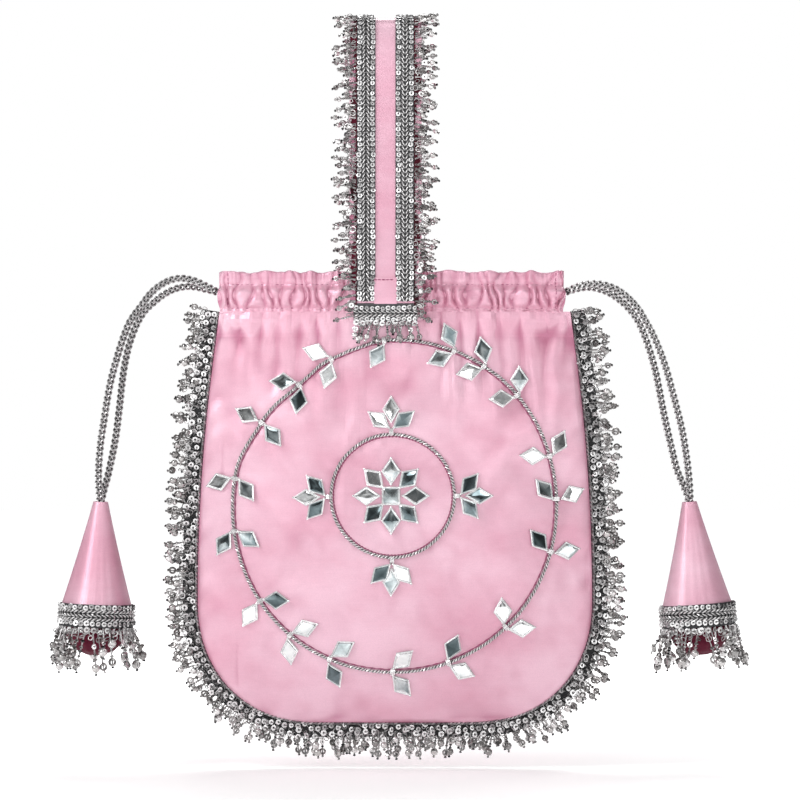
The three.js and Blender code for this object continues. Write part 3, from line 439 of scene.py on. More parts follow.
def noise(owner, vector, scale=1.0, detail=2.0, roughness=0.5):
    inputs = {"Vector": vector, "Scale": scale, "Detail": detail, "Roughness": roughness}
    return add_node(owner, "ShaderNodeTexNoise", inputs).outputs["Fac"]


def ramp(owner, factor, stops):
    """A colour ramp. stops: pairs of place and colour, or of place and grey"""
    node = add_node(owner, "ShaderNodeValToRGB", {"Fac": factor})
    elements = node.color_ramp.elements
    while len(elements) < len(stops):
        elements.new(1.0)
    for element, (place, colour) in zip(elements, stops):
        element.position = place
        element.color = (*np.broadcast_to(colour, 3), 1)
    return node.outputs["Color"]


def darkened(owner, factor, a, b):
    """One colour multiplied by another, as far as factor says."""
    inputs = {0: factor, 6: a, 7: b}
    return add_node(owner, "ShaderNodeMix", inputs, data_type="RGBA", blend_type="MULTIPLY").outputs[2]


def maths(owner, operation, *values):
    return add_node(owner, "ShaderNodeMath", dict(enumerate(values)), operation=operation).outputs[0]


def link(owner, output, node, socket):
    owner.node_tree.links.new(output, node.inputs[socket])


def add_bump(material, shader, height, strength, distance):
    inputs = {"Height": height, "Strength": strength, "Distance": distance}
    link(material, add_node(material, "ShaderNodeBump", inputs).outputs["Normal"], shader, "Normal")


def tint_of(material):
    return add_node(material, "ShaderNodeAttribute", attribute_name="tint").outputs["Fac"]


def satin_material(name, light, deep, roughness, gleam, **values):
    """Satin: floats of shiny yarn across, slubs in the weft, a soft sheen, and painted shade where the tint
    is low.
    """
    sheen = {"Sheen_Weight": gleam, "Sheen_Roughness": 0.4, "Sheen_Tint": (1.0, 0.9, 0.94, 1)}
    material, shader = new_material(name, Metallic=gleam, **sheen, **values)
    broad = noise(material, stretched(material, (16, 16, 26)), detail=4, roughness=0.6)
    slubs = noise(material, stretched(material, (110, 110, 1700)), detail=4, roughness=0.65)
    grain = noise(material, stretched(material, (2600, 2600, 1900)), detail=2)
    colour = ramp(material, broad, [(0.34, deep), (0.64, light)])
    thread = ramp(material, slubs, [(0.3, (0.965, 0.95, 0.96)), (0.7, 1.0)])
    speck = ramp(material, grain, [(0.3, (0.9, 0.88, 0.9)), (0.65, 1.0)])
    # Painted shade: a low tint darkens the satin in valleys, creases and by the seams
    shade = ramp(material, tint_of(material), [(0.0, (0.66, 0.42, 0.52)), (0.5, 1.0)])
    for factor, layer in ((1.0, thread), (0.8, speck), (1.0, shade)):
        colour = darkened(material, factor, colour, layer)
    link(material, colour, shader, "Base Color")
    weave = maths(material, "ADD", maths(material, "MULTIPLY", slubs, 0.25), grain)
    add_bump(material, shader, weave, 0.25, 0.00009)
    gloss = ramp(material, slubs, [(0.2, roughness + 0.03), (0.8, roughness - 0.03)])
    link(material, gloss, shader, "Roughness")
    return material


def tinted_material(name, stops, roughness, metallic, bump_scale=0, **values):
    """A material whose colour follows each small piece's tint."""
    material, shader = new_material(name, Roughness=roughness, Metallic=metallic, **values)
    fine = noise(material, stretched(material, (700, 700, 700)), detail=3)
    wear = ramp(material, fine, [(0.35, (0.72, 0.71, 0.72)), (0.62, 1.0)])
    colour = darkened(material, 0.6, ramp(material, tint_of(material), stops), wear)
    link(material, colour, shader, "Base Color")
    if bump_scale:
        threads = noise(material, stretched(material, (bump_scale,) * 3), detail=2)
        add_bump(material, shader, threads, 0.5, 0.0001)
    return material


PINK = satin_material("satin_pink", (0.88, 0.565, 0.67), (0.76, 0.39, 0.5), 0.33, 0.22)
# Painted shade: a dark satin that stands for the pink satin deep in shade, under the tassels and at the
# strap's edges
SHADED_SATIN = satin_material(
    "satin_in_painted_shade", (0.15, 0.006, 0.03), (0.05, 0.002, 0.01), 0.6, 0.0, Specular_IOR_Level=0.15
)
THREAD = tinted_material(
    "silver_thread",
    [(0.0, (0.02, 0.02, 0.022)), (0.4, (0.38, 0.37, 0.37)), (0.75, (0.78, 0.77, 0.77))],
    0.34, 0.7, 1800,
)
STITCH = tinted_material(
    "pink_thread", [(0.0, (0.40, 0.10, 0.20)), (1.0, (0.72, 0.36, 0.47))], 0.6, 0.0, 3000
)
NET = tinted_material(
    "dark_net", [(0.0, (0.012, 0.012, 0.014)), (1.0, (0.10, 0.10, 0.105))], 0.7, 0.2, 1800
)
# Painted highlight: sequins run from grey to white with their tint, the white ones standing for sequins that
# catch the light
SEQUINS = tinted_material(
    "silver_sequins",
    [(0.0, (0.22, 0.21, 0.22)), (0.45, (0.62, 0.61, 0.61)), (0.8, 0.97)],
    0.25, 0.55,
)
GLASS = tinted_material(
    "silver_lined_beads",
    [
        (0.0, (0.015, 0.015, 0.018)), (0.25, (0.15, 0.135, 0.13)), (0.5, (0.35, 0.34, 0.335)),
        (0.75, (0.64, 0.62, 0.61)), (1.0, (0.94, 0.93, 0.93)),
    ],
    0.13, 0.65, Coat_Weight=0.5,
)
# Painted reflection: each stone's tint sets how dark or bright its mirror looks
MIRROR = tinted_material(
    "mirror_glass",
    [
        (0.0, (0.05, 0.07, 0.075)), (0.4, (0.19, 0.24, 0.255)),
        (0.65, (0.5, 0.55, 0.56)), (1.0, (0.95, 0.97, 0.97)),
    ],
    0.05, 1.0,
)
TRIM_LOOKS = (NET, THREAD, SEQUINS)
FRINGE_LOOKS = (GLASS, THREAD, THREAD, SEQUINS)
CLOTH_ANGLE = 0.001


# Objects
def make_piece(name, parts, stands_for=(), sharp=50):
    """A mesh object that rides on the bag. parts: pairs of a form and its material, sharp: the
    angle in degrees from which an edge is sharp"""
    parts = list(parts)
    form = join(part for part, _ in parts)
    mesh = bpy.data.meshes.new(name)
    quads, tris = form.quads, form.tris
    mesh.vertices.add(len(form.points))
    mesh.vertices.foreach_set("co", (form.points * MM).ravel())
    mesh.loops.add(quads.size + tris.size)
    mesh.loops.foreach_set("vertex_index", np.concatenate([quads.ravel(), tris.ravel()]))
    sizes = np.concatenate([np.full(len(quads), 4), np.full(len(tris), 3)])
    mesh.polygons.add(len(sizes))
    mesh.polygons.foreach_set("loop_start", np.concatenate([[0], np.cumsum(sizes)[:-1]]))
    mesh.polygons.foreach_set("loop_total", sizes)
    looks = [np.full(len(part.quads), k) for k, (part, _) in enumerate(parts)]
    looks += [np.full(len(part.tris), k) for k, (part, _) in enumerate(parts)]
    mesh.polygons.foreach_set("material_index", np.concatenate(looks))
    mesh.polygons.foreach_set("use_smooth", np.full(len(sizes), True))
    mesh.attributes.new("tint", "FLOAT", "POINT").data.foreach_set("value", form.tint)
    for _, material in parts:
        mesh.materials.append(material)
    mesh.update(calc_edges=True)
    mesh.validate()
    if sharp:
        mesh.set_sharp_from_angle(angle=math.radians(sharp))
    made = new_object(name, mesh)
    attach(made, "root")
    if stands_for:
        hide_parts(*stands_for)
    return made


# Free strands of the drawstrings, listed as the frame has them
CORD_ROUTES = {
    "cord_left_front": [
        (-88.5, -6.8, -140.5), (-93.9, -6.7, -137.6), (-100.6, -6.2, -134.8), (-107.4, -5.6, -133.8),
        (-113.6, -4.9, -135.3), (-119.3, -4.2, -138.7), (-123.8, -3.7, -143.1), (-127.2, -3.4, -147.8),
        (-130.6, -3.2, -152.2), (-133.5, -3, -156.6), (-137.3, -2.8, -166), (-140.5, -2.6, -176.4),
        (-143.3, -2.5, -186.8), (-145.3, -2.4, -197.2), (-146.9, -2.4, -207.6), (-148.5, -2.4, -218),
        (-149.5, -2.4, -228.4), (-149.8, -2.4, -238.8), (-149, -2.4, -250.3), (-149.1, -2.4, -258.2),
    ],
    "cord_left_back": [
        (-88.5, 6.8, -140.6), (-93.9, 6.7, -139.3), (-100.6, 6.4, -137.9), (-106.9, 5.9, -138.2),
        (-112.1, 5.4, -139.8), (-116.9, 4.9, -142.6), (-121.4, 4.4, -146.2), (-125.8, 4, -150.4),
        (-129.2, 3.7, -155.6), (-133.4, 3.4, -166), (-136, 3.2, -176.4), (-137.6, 3, -186.8),
        (-138.7, 2.8, -197.2), (-139.9, 2.7, -207.6), (-141.3, 2.6, -218), (-143.3, 2.5, -228.4),
        (-145.4, 2.4, -237.6), (-147.3, 2.4, -244.6), (-148.6, 2.4, -250.3), (-149.1, 2.4, -258.2),
    ],
    "cord_right_front": [
        (94.6, -6.8, -140.6), (101.1, -6.7, -137.8), (107.4, -6.3, -136.6), (113.6, -5.7, -137.2),
        (119.3, -5, -139), (124, -4.4, -141.8), (128.2, -3.9, -145.5), (132.2, -3.5, -150.2),
        (135.4, -3.3, -155.6), (138.4, -3.1, -160.8), (143, -2.9, -171.2), (146.6, -2.8, -181.6),
        (149.4, -2.7, -191.8), (152.2, -2.6, -202.4), (154.7, -2.5, -212.8), (156.5, -2.4, -223.2),
        (157.9, -2.4, -233.6), (158.7, -2.4, -243), (158.9, -2.4, -250.3), (159.4, -2.4, -258.2),
    ],
    "cord_right_back": [
        (94.6, 6.8, -140.6), (101.1, 6.7, -138.7), (107.4, 6.4, -138.2), (112.8, 6, -139.4),
        (118.2, 5.5, -141.8), (123, 5, -145.2), (127.4, 4.5, -149.4), (131.2, 4.1, -154.4),
        (134.4, 3.8, -160.8), (138.1, 3.5, -171.2), (141, 3.2, -181.6), (143.1, 3, -191.8),
        (145.1, 2.8, -202.4), (147.3, 2.6, -212.8), (149.7, 2.5, -223.2), (152.3, 2.4, -233.6),
        (155.5, 2.4, -241.4), (157.8, 2.4, -247), (158.7, 2.4, -251.6), (159.2, 2.4, -258.2),
    ],
}


def make_cords():
    """The four free strands, plaited. Returns each one's object and centreline."""
    made = {}
    for name, route in CORD_ROUTES.items():
        line = smooth_line(route, 0.85)
        form = plait(line, (0, -1, 0), CORD_DIAMETER / 2, CORD_PITCH)
        made[name] = (make_piece(name + "_plait", [(form, THREAD)], [name]), line)
    return made


cords = make_cords()


# Repeated small pieces, each about 1 mm in radius, with the hole along Z
def stitch_form():
    """A short thread that rises out of the cloth and goes back in."""
    line = np.array([(0, 0, -1), (0, 0.55, -0.45), (0, 0.55, 0.45), (0, 0, 1)])
    return rod(line, [0.5, 0.88, 0.88, 0.5], 4, (1, 0, 0))


KINDS = {
    "sequin": lathe([(0.34, 0.02), (0.66, 0.2), (1, 0.08), (0.64, 0.0)], 8),
    "seed": lathe([(0.3, -0.7), (1, -0.3), (1, 0.3), (0.3, 0.7)], 6),
    "round": lathe([(0.2, -0.94), (0.74, -0.7), (1, 0), (0.74, 0.7), (0.2, 0.94)], 10),
    "ring": lathe([(0.42, 0), (0.56, 0.26), (0.86, 0.24), (1, 0), (0.86, -0.24), (0.56, -0.26)], 12),
    "loop": lathe([(1.14, 0.12), (1, -0.15), (0.86, 0.12)], 8),
    "bugle": lathe([(0.35, -1), (0.95, -0.9), (0.95, 0.9), (0.35, 1)], 5),
    "stitch": stitch_form(),
}


class Scatter:
    """Places of repeated small pieces, joined into one form at the end."""

    def __init__(self):
        self.rows = {}

    def add(self, kind, at, axis, size, tint=0.5, side=None):
        """size: one number, or one across and one along the axis"""
        wide, high = size if np.ndim(size) else (size, size)
        side = RNG.normal(size=3) if side is None else side
        self.rows.setdefault(kind, []).append((*at, *axis, *side, wide, wide, high, tint))

    def form(self):
        forms = []
        for kind, rows in self.rows.items():
            rows = np.array(rows, float)
            template = KINDS[kind]
            up = unit(rows[:, 3:6])
            across = unit(np.cross(rows[:, 6:9], up))
            basis = np.stack([across, np.cross(up, across), up], axis=2)
            points = template.points[None] * rows[:, None, 9:12]
            points = np.einsum("nij,npj->npi", basis, points) + rows[:, None, :3]
            starts = (np.arange(len(rows)) * len(template.points))[:, None, None]
            forms.append(Form(
                points,
                (template.quads[None] + starts).reshape(-1, 4),
                (template.tris[None] + starts).reshape(-1, 3),
                np.repeat(rows[:, 12], len(template.points)),
            ))
        return join(forms)


# The pouch's cloth
# Folds gathered by the drawstring. at: share of the casing's half length, depth: share of
# GATHER_DEPTH, reach: share of BODY_HEIGHT that the fold runs down the pouch
FOLDS = table(
    "at depth reach",
    (-0.92, 0.6, 0.12), (-0.81, 0.9, 0.2), (-0.70, 0.8, 0.16), (-0.59, 1.0, 0.26), (-0.48, 0.8, 0.2),
    (-0.37, 0.9, 0.24), (-0.26, 0.6, 0.14), (-0.03, 0.0, 0.1), (0.20, 0.6, 0.14), (0.31, 0.9, 0.28),
    (0.42, 0.8, 0.2), (0.53, 1.0, 0.24), (0.64, 0.8, 0.18), (0.75, 1.0, 0.28), (0.86, 0.7, 0.14),
)
# Low waves over the whole cloth. length: mm from crest to crest, heading: degrees, height: mm
CLOTH_WAVES = table(
    "length heading height shift",
    (74, 24, 0.6, 0.4), (49, -38, 0.4, 2.1), (31, 56, 0.24, 4.0),
    (19, -14, 0.13, 1.2), (12, 33, 0.05, 3.3), (60, 98, 0.35, 5.2),
)
# Creases pressed into the front. x, top, bottom: mm, in the front view
CREASES = table("x top bottom", (-84.8, -216, -242), (-77.0, -320, -350))
# Where the sewn rope wanders in or out of a true ellipse
RING_WANDER = table(
    "degrees share",
    (0, 1.0), (45, 1.008), (90, 1.0), (112, 0.967), (130, 0.935), (148, 0.957), (168, 0.995),
    (225, 1.01), (270, 1.0), (315, 1.004), (360, 1.0),
)


def bump_of(t):
    return np.where(np.abs(t) < 1, np.cos(np.clip(t, -1, 1) * math.pi / 2) ** 2, 0)


def gather(facing, across, down):
    """Height of the gathers at a share across and a share down the pouch."""
    folds, width = (FOLDS, 0.075) if facing < 0 else (FOLDS[1::2], 0.13)
    height = 0
    for fold in folds:
        height = height + (
            fold["depth"] * bump_of((across - fold["at"]) / width) * bump_of(down / (fold["reach"] * 1.4))
        )
    return height * GATHER_DEPTH


def half_width(down):
    drop = down * BODY_HEIGHT
    straight = BODY_HEIGHT - CORNER_HEIGHT
    upper = BODY_WIDE_HALF - (BODY_WIDE_HALF - BODY_TOP_HALF) * (1 - drop / straight) ** 2
    t = np.clip((drop - straight) / CORNER_HEIGHT, 0, 1)
    corner = np.maximum(0, 1 - t**CORNER_ROUNDNESS) ** (1 / CORNER_ROUNDNESS)
    lower = BOTTOM_FLAT_HALF + (BODY_WIDE_HALF - BOTTOM_FLAT_HALF) * corner
    return np.where(drop <= straight, upper, lower)


def gap_of(places, x):
    """Which gap between the places x lies in, and how far through it, from 0 to 1."""
    k = np.clip(np.searchsorted(places, x, side="right") - 1, 0, len(places) - 2)
    return k, (x - places[k]) / (places[k + 1] - places[k])


def ring_share(degrees):
    """How far out the sewn rope lies, as a share of its ellipse."""
    angles, shares = columns_of(RING_WANDER)
    k, t = gap_of(angles, np.mod(degrees, 360))
    return lerp(shares[k], shares[k + 1], t * t * (3 - 2 * t))


def pucker(x, z, centre, half, wandering):
    """The cloth drawn in along a sewn rope, with small ripples beside it."""
    u, v = (x - centre[0]) / half[0], (z - centre[1]) / half[1]
    angle = np.arctan2(v, u)
    share = ring_share(np.degrees(angle)) if wandering else 1.0
    off = (np.hypot(u, v) - share) * (half[0] + half[1]) / 2
    ripples = np.sin(angle * round(half[0] * 0.9)) * np.exp(-np.abs(off) / 5) * 0.1
    return ripples - 0.34 * np.exp(-((off / 2.8) ** 2))


def irregular(start, end, low, high, rng):
    """Places from start to end, each from low to high beyond the last."""
    steps = rng.uniform(low, high, int((end - start) / low) + 1)
    places = start + np.cumsum(steps)
    return np.concatenate([[start], places[places < end - low / 2], [end]])


def random_tails(rng):
    """Soft folds that run down from the gathers: the creases between them, their heights and lengths."""
    creases = irregular(-100, 110, 5.5, 14, rng)
    count = len(creases)
    tall = rng.uniform(0.5, 2.0, count)
    return creases, tall, rng.uniform(9, 24, count) * rng.choice([0.7, 1, 1.7], count)


TAILS = {-1: random_tails(np.random.default_rng(7)), 1: random_tails(np.random.default_rng(8))}


def fold_tails(facing, x, drop):
    """Height of the soft folds at x, and at drop under the casing: sharp valleys that fade below."""
    creases, tall, length = TAILS[facing]
    lean = 0.11 * np.sin(x / 15 + facing) + (x - BAG_SHIFT) / BODY_TOP_HALF * 0.08
    x = x - lean * drop + 1.6 * np.sin(drop / 8 + x / 9) * smoothstep(drop, 0, 12)
    k, u = gap_of(creases, x)
    u = np.clip(u, 0, 1)
    ridge = np.clip(4 * u * (1 - u), 1e-9, 1) ** (0.55 + drop / 30)
    return tall[k] * np.exp(-((drop / length[k]) ** 1.3)) * ridge


def corner_pinch(x, drop):
    """Small folds that spread from where the casing is sewn at the pouch's two top corners."""
    height = 0
    for sign in (1, -1):
        dx = sign * (x - BAG_SHIFT) + BODY_TOP_HALF - 2
        far = np.hypot(dx, drop)
        angle = np.arctan2(dx, drop + 1e-6)
        height = height + 0.75 * np.sin(angle * 7.5 + 0.4 * sign) * np.exp(-far / 15) * smoothstep(far, 0, 4)
    return height


def relief(facing, across, down):
    """Fine folds of the cloth, outwards, in mm."""
    x = BAG_SHIFT + across * half_width(down)
    drop = down * BODY_HEIGHT
    z = BODY_TOP - drop
    height = 0
    bent = 6 * np.sin(z / 21 + x / 37) + 2.5 * np.sin(x / 11 - z / 17)
    for wave in CLOTH_WAVES:
        heading = math.radians(wave["heading"] + (0 if facing < 0 else 40))
        along = (x + bent) * math.cos(heading) + (z - bent) * math.sin(heading)
        height = height + wave["height"] * np.sin(along / wave["length"] * TAU + wave["shift"])
    fine = 0.3 * np.sin(x / 0.95 + 0.8 * np.sin(x / 7)) + 0.2 * np.sin(x / 0.6 + 1.3 * np.sin(x / 5))
    height = height + fine * np.exp(-drop / 5)
    height = height + fold_tails(facing, x, drop) + corner_pinch(x, drop)
    edge = (1 - np.abs(across)) * half_width(down)
    rim = np.minimum(edge, (1 - down) * BODY_HEIGHT)
    seam = 0.34 * np.sin((x - 1.3 * z) / 3.4 + np.sin(z / 13)) * np.exp(-rim / 5) * (1 - np.exp(-rim / 1.5))
    height = height + seam
    if facing < 0:
        height = height + pucker(x, z, RING_CENTRE, RING_HALF, True)
        height = height + pucker(x, z, INNER_CENTRE, (INNER_RADIUS, INNER_RADIUS), False)
        for crease in CREASES:
            along = smoothstep(z, crease["bottom"], crease["bottom"] + 8)
            along = along * (1 - smoothstep(z, crease["top"] - 8, crease["top"]))
            height = height - 0.35 * along * np.exp(-(((x - crease["x"]) / 0.9) ** 2))
    return height * smoothstep(rim, -0.5, 3.5) * (0.35 + 0.65 * smoothstep(drop, 0, 5))


def pouch_depth(facing, across, down):
    """Distance of the cloth's middle from the bag's middle plane."""
    seam = GAP / 2 + CLOTH / 2
    edge = lerp(CASING_END_DEPTH, seam, smoothstep(down * BODY_HEIGHT, 0, SIDE_CLOSING))
    fall = np.clip((down - 0.55) / 0.45, 0, 1)
    swell = lerp(MOUTH_DEPTH, BELLY_DEPTH, smoothstep(down, 0, 0.5))
    centre = seam + (swell - seam) * np.maximum(0, 1 - fall**2.4) ** 0.6
    full = np.maximum(0, 1 - across**2) ** 0.6
    profile = lerp(np.cos(across * math.pi / 2), full, smoothstep(down, 0, 0.3))
    return (
        edge + np.maximum(0, centre - edge) * profile
        + gather(facing, across, down) * (1 - across**8)
        + relief(facing, across, down)
    )


def front_face(x, z):
    """Depth of the front's outer face at a place of the front view."""
    down = np.clip((BODY_TOP - z) / BODY_HEIGHT, 0, 1)
    across = np.clip((x - BAG_SHIFT) / half_width(down), -1, 1)
    return -(pouch_depth(-1, across, down) + CLOTH / 2)


def outward_at(x, z, reach):
    """The direction out of the front's cloth, measured over a reach beside each place."""
    return unit(np.stack([
        (front_face(x + reach, z) - front_face(x - reach, z)) / (2 * reach),
        -np.ones_like(x),
        (front_face(x, z + reach) - front_face(x, z - reach)) / (2 * reach),
    ], axis=-1))


def seat(x, z, reach):
    """A place on the front: its point, its outward direction, and how far the cloth rises by it."""
    up = outward_at(x, z, reach)
    centre = np.array([x, float(front_face(x, z)), z])
    u, v = np.meshgrid(np.linspace(-1, 1, 7), np.linspace(-1, 1, 7))
    near = np.abs(u) + np.abs(v) <= 1
    xs, zs = x + u[near] * reach, z + v[near] * reach
    beside = np.stack([xs, front_face(xs, zs), zs], axis=1) - centre
    return centre, up, max(0.0, float((beside @ up).max()))


def painted_valley_shade(height, strength):
    """Painted shade: deep in valleys and plain on ridges. height: of the cloth's points, on a grid"""
    mean = height
    for _ in range(18):
        framed = np.pad(mean, 1, mode="edge")
        mean = (framed[:-2, 1:-1] + framed[2:, 1:-1] + framed[1:-1, :-2] + framed[1:-1, 2:] + mean) / 5
    return np.clip(0.5 + (height - mean) * strength, 0, 1)


def pouch_panel(facing, columns, rows):
    """One side of the pouch as a wall of cloth."""
    across = np.sin(np.linspace(-1, 1, columns) * math.pi / 2) * 0.35 + np.linspace(-1, 1, columns) * 0.65
    down = 1 - (1 - np.linspace(0, 1, rows)) ** 1.25
    u, v = np.meshgrid(across, down)
    middle = np.stack([
        BAG_SHIFT + u * half_width(v), facing * pouch_depth(facing, u, v), BODY_TOP - v * BODY_HEIGHT,
    ], axis=2)
    normal = np.cross(np.gradient(middle, axis=1), np.gradient(middle, axis=0))
    normal = unit(normal) * facing * np.sign((unit(normal)[..., 1:2]).mean())
    normal[:, [0, -1]] = (0, facing, 0)
    normal[-1] = (0, facing, 0)
    normal[0, :, 2] = 0
    normal = unit(normal)
    rim = np.minimum((1 - np.abs(u)) * half_width(v), (1 - v) * BODY_HEIGHT)
    # Painted shade: darker in the cloth's valleys and near its rim at the seam
    tint = painted_valley_shade(pouch_depth(facing, u, v), 0.55) - 0.2 * np.exp(-rim / 6)
    return sheet_form(
        middle + normal * CLOTH / 2, middle - normal * CLOTH / 2, np.tile(np.clip(tint, 0, 1).ravel(), 2)
    )


def casing_depth(across):
    return lerp(CASING_END_DEPTH, MOUTH_DEPTH, np.cos(across * math.pi / 2))


def casing_x(across, pull):
    """Where a share across the casing lies, its ends drawn in by pull."""
    return CASING_SHIFT + (across * CASING_HALF - np.sign(across) * pull * np.abs(across) ** 24)


PLEATS = {
    facing: irregular(-CASING_HALF, CASING_HALF, 2.8, 7.2, np.random.default_rng(70 + facing))
    for facing in (-1, 1)
}
PLEAT_TALL = {facing: np.random.default_rng(80 + facing).uniform(0.45, 1.0, 80) for facing in (-1, 1)}


def pleats(facing, x, z):
    """Height of the casing's puffs, 0 in the creases between them and up to about 1."""
    wander = 1.5 * np.sin(z / 4.3 + x / 3.7) + 0.6 * np.sin(z / 2.2 - x / 2.3)
    x = np.clip(x + wander, -CASING_HALF, CASING_HALF)
    k, u = gap_of(PLEATS[facing], x)
    tall = PLEAT_TALL[facing][k]
    puff = np.clip(4 * u * (1 - u), 0, 1) ** (0.6 + 1.3 * np.mod(tall * 7.1, 1)) * tall
    dent = 0.16 * np.sin(z / 1.3 + 3 * tall) * np.sin(u * math.pi) ** 2
    return puff + dent


# Casing and header in section, outer face first. d: depth from the middle plane, z: height,
# wave: share of the gathers, sway: share of the header's ruffle, pull: how far the ends draw in
CASING_SECTION = table(
    "d z wave sway pull",
    (1.15, CASING_BOTTOM - 1.1, 0.3, 0, 1.4),
    (1.7, CASING_BOTTOM - 0.9, 0.35, 0, 1.3),
    (2.0, CASING_BOTTOM + 0.2, 0.4, 0, 1.4),
    (1.55, CASING_BOTTOM + 1.3, 0.2, 0, 1.5),
    (3.0, CASING_BOTTOM + 2.6, 0.75, 0, 0.9),
    (4.1, CASING_BOTTOM + 4.8, 1.0, 0, 0.2),
    (4.6, TUNNEL_MIDDLE, 1.05, 0, 0),
    (4.3, TUNNEL_MIDDLE + 2.2, 1.0, 0, 0.2),
    (3.0, CASING_TOP - 1.4, 0.7, 0.1, 0.9),
    (1.45, CASING_TOP, 0.2, 0.15, 1.6),
    (2.3, CASING_TOP + 1.4, 0.4, 0.45, 1.4),
    (2.8, CASING_TOP + 4.2, 0.2, 0.8, 1.0),
    (3.0, HEADER_TOP - 0.5, 0.12, 1, 1.0),
    (2.4, HEADER_TOP, 0.1, 1, 1.0),
    (1.2, HEADER_TOP, 0.1, 1, 1.0),
    (0.6, HEADER_TOP - 0.5, 0.1, 1, 1.0),
    (-0.5, CASING_TOP + 2.5, 0.1, 0.6, 1.2),
    (-1.5, CASING_TOP, 0, 0.15, 1.5),
    (-4.2, CASING_TOP - 1.7, 0, 0, 0.6),
    (-5.2, TUNNEL_MIDDLE, 0, 0, 0),
    (-4.5, TUNNEL_MIDDLE - 3.9, 0, 0, 0.2),
    (-2.0, CASING_BOTTOM + 1.2, 0, 0, 1.2),
    (-1.5, CASING_BOTTOM, 0, 0, 1.4),
    (1.0, CASING_BOTTOM, 0.1, 0, 1.4),
)
CASING_OUTER_ROWS = 14


def fine_section():
    """The casing's section with more points on its outer face, columns as in CASING_SECTION."""
    last_outer = CASING_OUTER_ROWS - 1
    place = np.arange(len(CASING_SECTION))
    fine = np.concatenate([np.arange(0, last_outer, 0.4), place[last_outer:]])
    smooth = read_at(fine, place, columns_of(CASING_SECTION).T)
    rounded = smooth.copy()
    last = int((fine < last_outer).sum())
    rounded[1:last - 1] = (smooth[:last - 2] + 2 * smooth[1:last - 1] + smooth[2:last]) / 4
    return rounded


def casing_point(facing, across, d, z, wave, sway, pull):
    """A point of the casing's skin."""
    x = across * CASING_HALF
    fold = pleats(facing, x, z)
    main = gather(facing, across, 0) / GATHER_DEPTH
    broad = np.sin(x / 2.3 + 1.7 * np.sin(x / 9 + facing)) + 0.5 * np.sin(x / 4.7 + 2 * np.sin(x / 13))
    ruffle = sway * (0.7 * (fold - 0.5) + 1.15 * broad)
    lift = sway**2 * (0.35 * (fold - 0.75) + 0.5 * broad - 0.3)
    swell = wave * (fold * 3.3 + 0.55 * main - 1.3)
    crinkle = 0.16 * np.sin(x / 0.42 + 2 * np.sin(x / 3.3)) * (1 - np.clip(wave, 0, 1)) * (wave > 0.12)
    depth = casing_depth(across) + d + swell + ruffle + crinkle
    return np.stack(np.broadcast_arrays(casing_x(across, pull), facing * depth, z + lift), axis=-1)


def casing_form(facing, columns):
    """The casing with its header: an outer skin, the drawstring's tunnel, and open hemmed ends."""
    across = np.linspace(-1, 1, columns)[:, None]
    d, z, wave, sway, pull = fine_section().T
    skin = casing_point(facing, across, d, z, wave, sway, pull)
    # Painted shade: darker in the creases between the puffs and on the rows with little gather, such as the
    # header and the inner faces
    crease = np.clip(0.5 - pleats(facing, across * CASING_HALF, z + 0 * across), 0, 1)
    tint = 0.5 - crease * np.clip(wave + 0.3 * sway, 0, 1) - 0.12 * (wave < 0.25)
    turn = np.arctan2(z - TUNNEL_MIDDLE, d)
    bore_across = np.linspace(-1, 1, 33)[:, None]
    bore = np.stack(np.broadcast_arrays(
        casing_x(bore_across, pull),
        facing * (casing_depth(bore_across) + TUNNEL_RADIUS * np.cos(turn)),
        TUNNEL_MIDDLE + TUNNEL_RADIUS * np.sin(turn),
    ), axis=-1)
    count = len(d)
    start = columns * count
    outer_quads = grid_quads(columns, count, False, True)
    inner_quads = grid_quads(len(bore_across), count, False, True)[:, ::-1] + start
    j = np.arange(count)
    k = (j + 1) % count
    far = (columns - 1) * count
    far_bore = start + (len(bore_across) - 1) * count
    near_end = np.stack([k, j, start + j, start + k], axis=1)
    far_end = np.stack([far + j, far + k, far_bore + k, far_bore + j], axis=1)
    points = np.concatenate([skin.reshape(-1, 3), bore.reshape(-1, 3)])
    # Painted shade inside the tunnel
    tints = np.concatenate([np.clip(tint, 0, 1).ravel(), np.full(bore.size // 3, 0.3)])
    return Form(points, np.vstack([outer_quads, inner_quads, near_end, far_end]), (), tints).outward()


def casing_stitches(facing):
    """The two rows of machine stitches that hold the tunnel, and the hem's at each end."""
    stitches = Scatter()

    def at(x, row, proud):
        return casing_point(facing, x / CASING_HALF, **{**row, "d": row["d"] + proud})

    def sew(here, after, size, side):
        stitches.add("stitch", (here + after) / 2, after - here, size, RNG.uniform(0, 0.5), side)

    for row in (CASING_SECTION[9], CASING_SECTION[3]):
        for x in np.arange(-CASING_HALF + 2, CASING_HALF - 2, 2.6):
            sew(at(x, row, 0.15), at(x + 1.5, row, 0.15), (0.3, 0.8), (0, 0, 1))
    for x in (-CASING_HALF + 5.2, CASING_HALF - 5.2):
        for low, high in zip(CASING_SECTION[3:12], CASING_SECTION[4:13]):
            sew(at(x, low, 0.12), at(x, high, 0.12), (0.3, 0.75), (1, 0, 0))
    return stitches.form()


def make_pouch():
    for facing, name, columns, rows, casing_columns in (
        (-1, "front", 152, 142, 460), (1, "back", 82, 76, 300),
    ):
        parts = [(pouch_panel(facing, columns, rows), PINK)]
        panel = make_piece(f"{name}_cloth", parts, [f"{name}_panel"], CLOTH_ANGLE)
        panel.data.shade_smooth()
        parts = [(casing_form(facing, casing_columns), PINK)]
        casing = make_piece(f"{name}_gathering", parts, [f"{name}_casing"], CLOTH_ANGLE)
        casing.data.shade_smooth()
        make_piece(f"{name}_stitches", [(casing_stitches(facing), STITCH)])


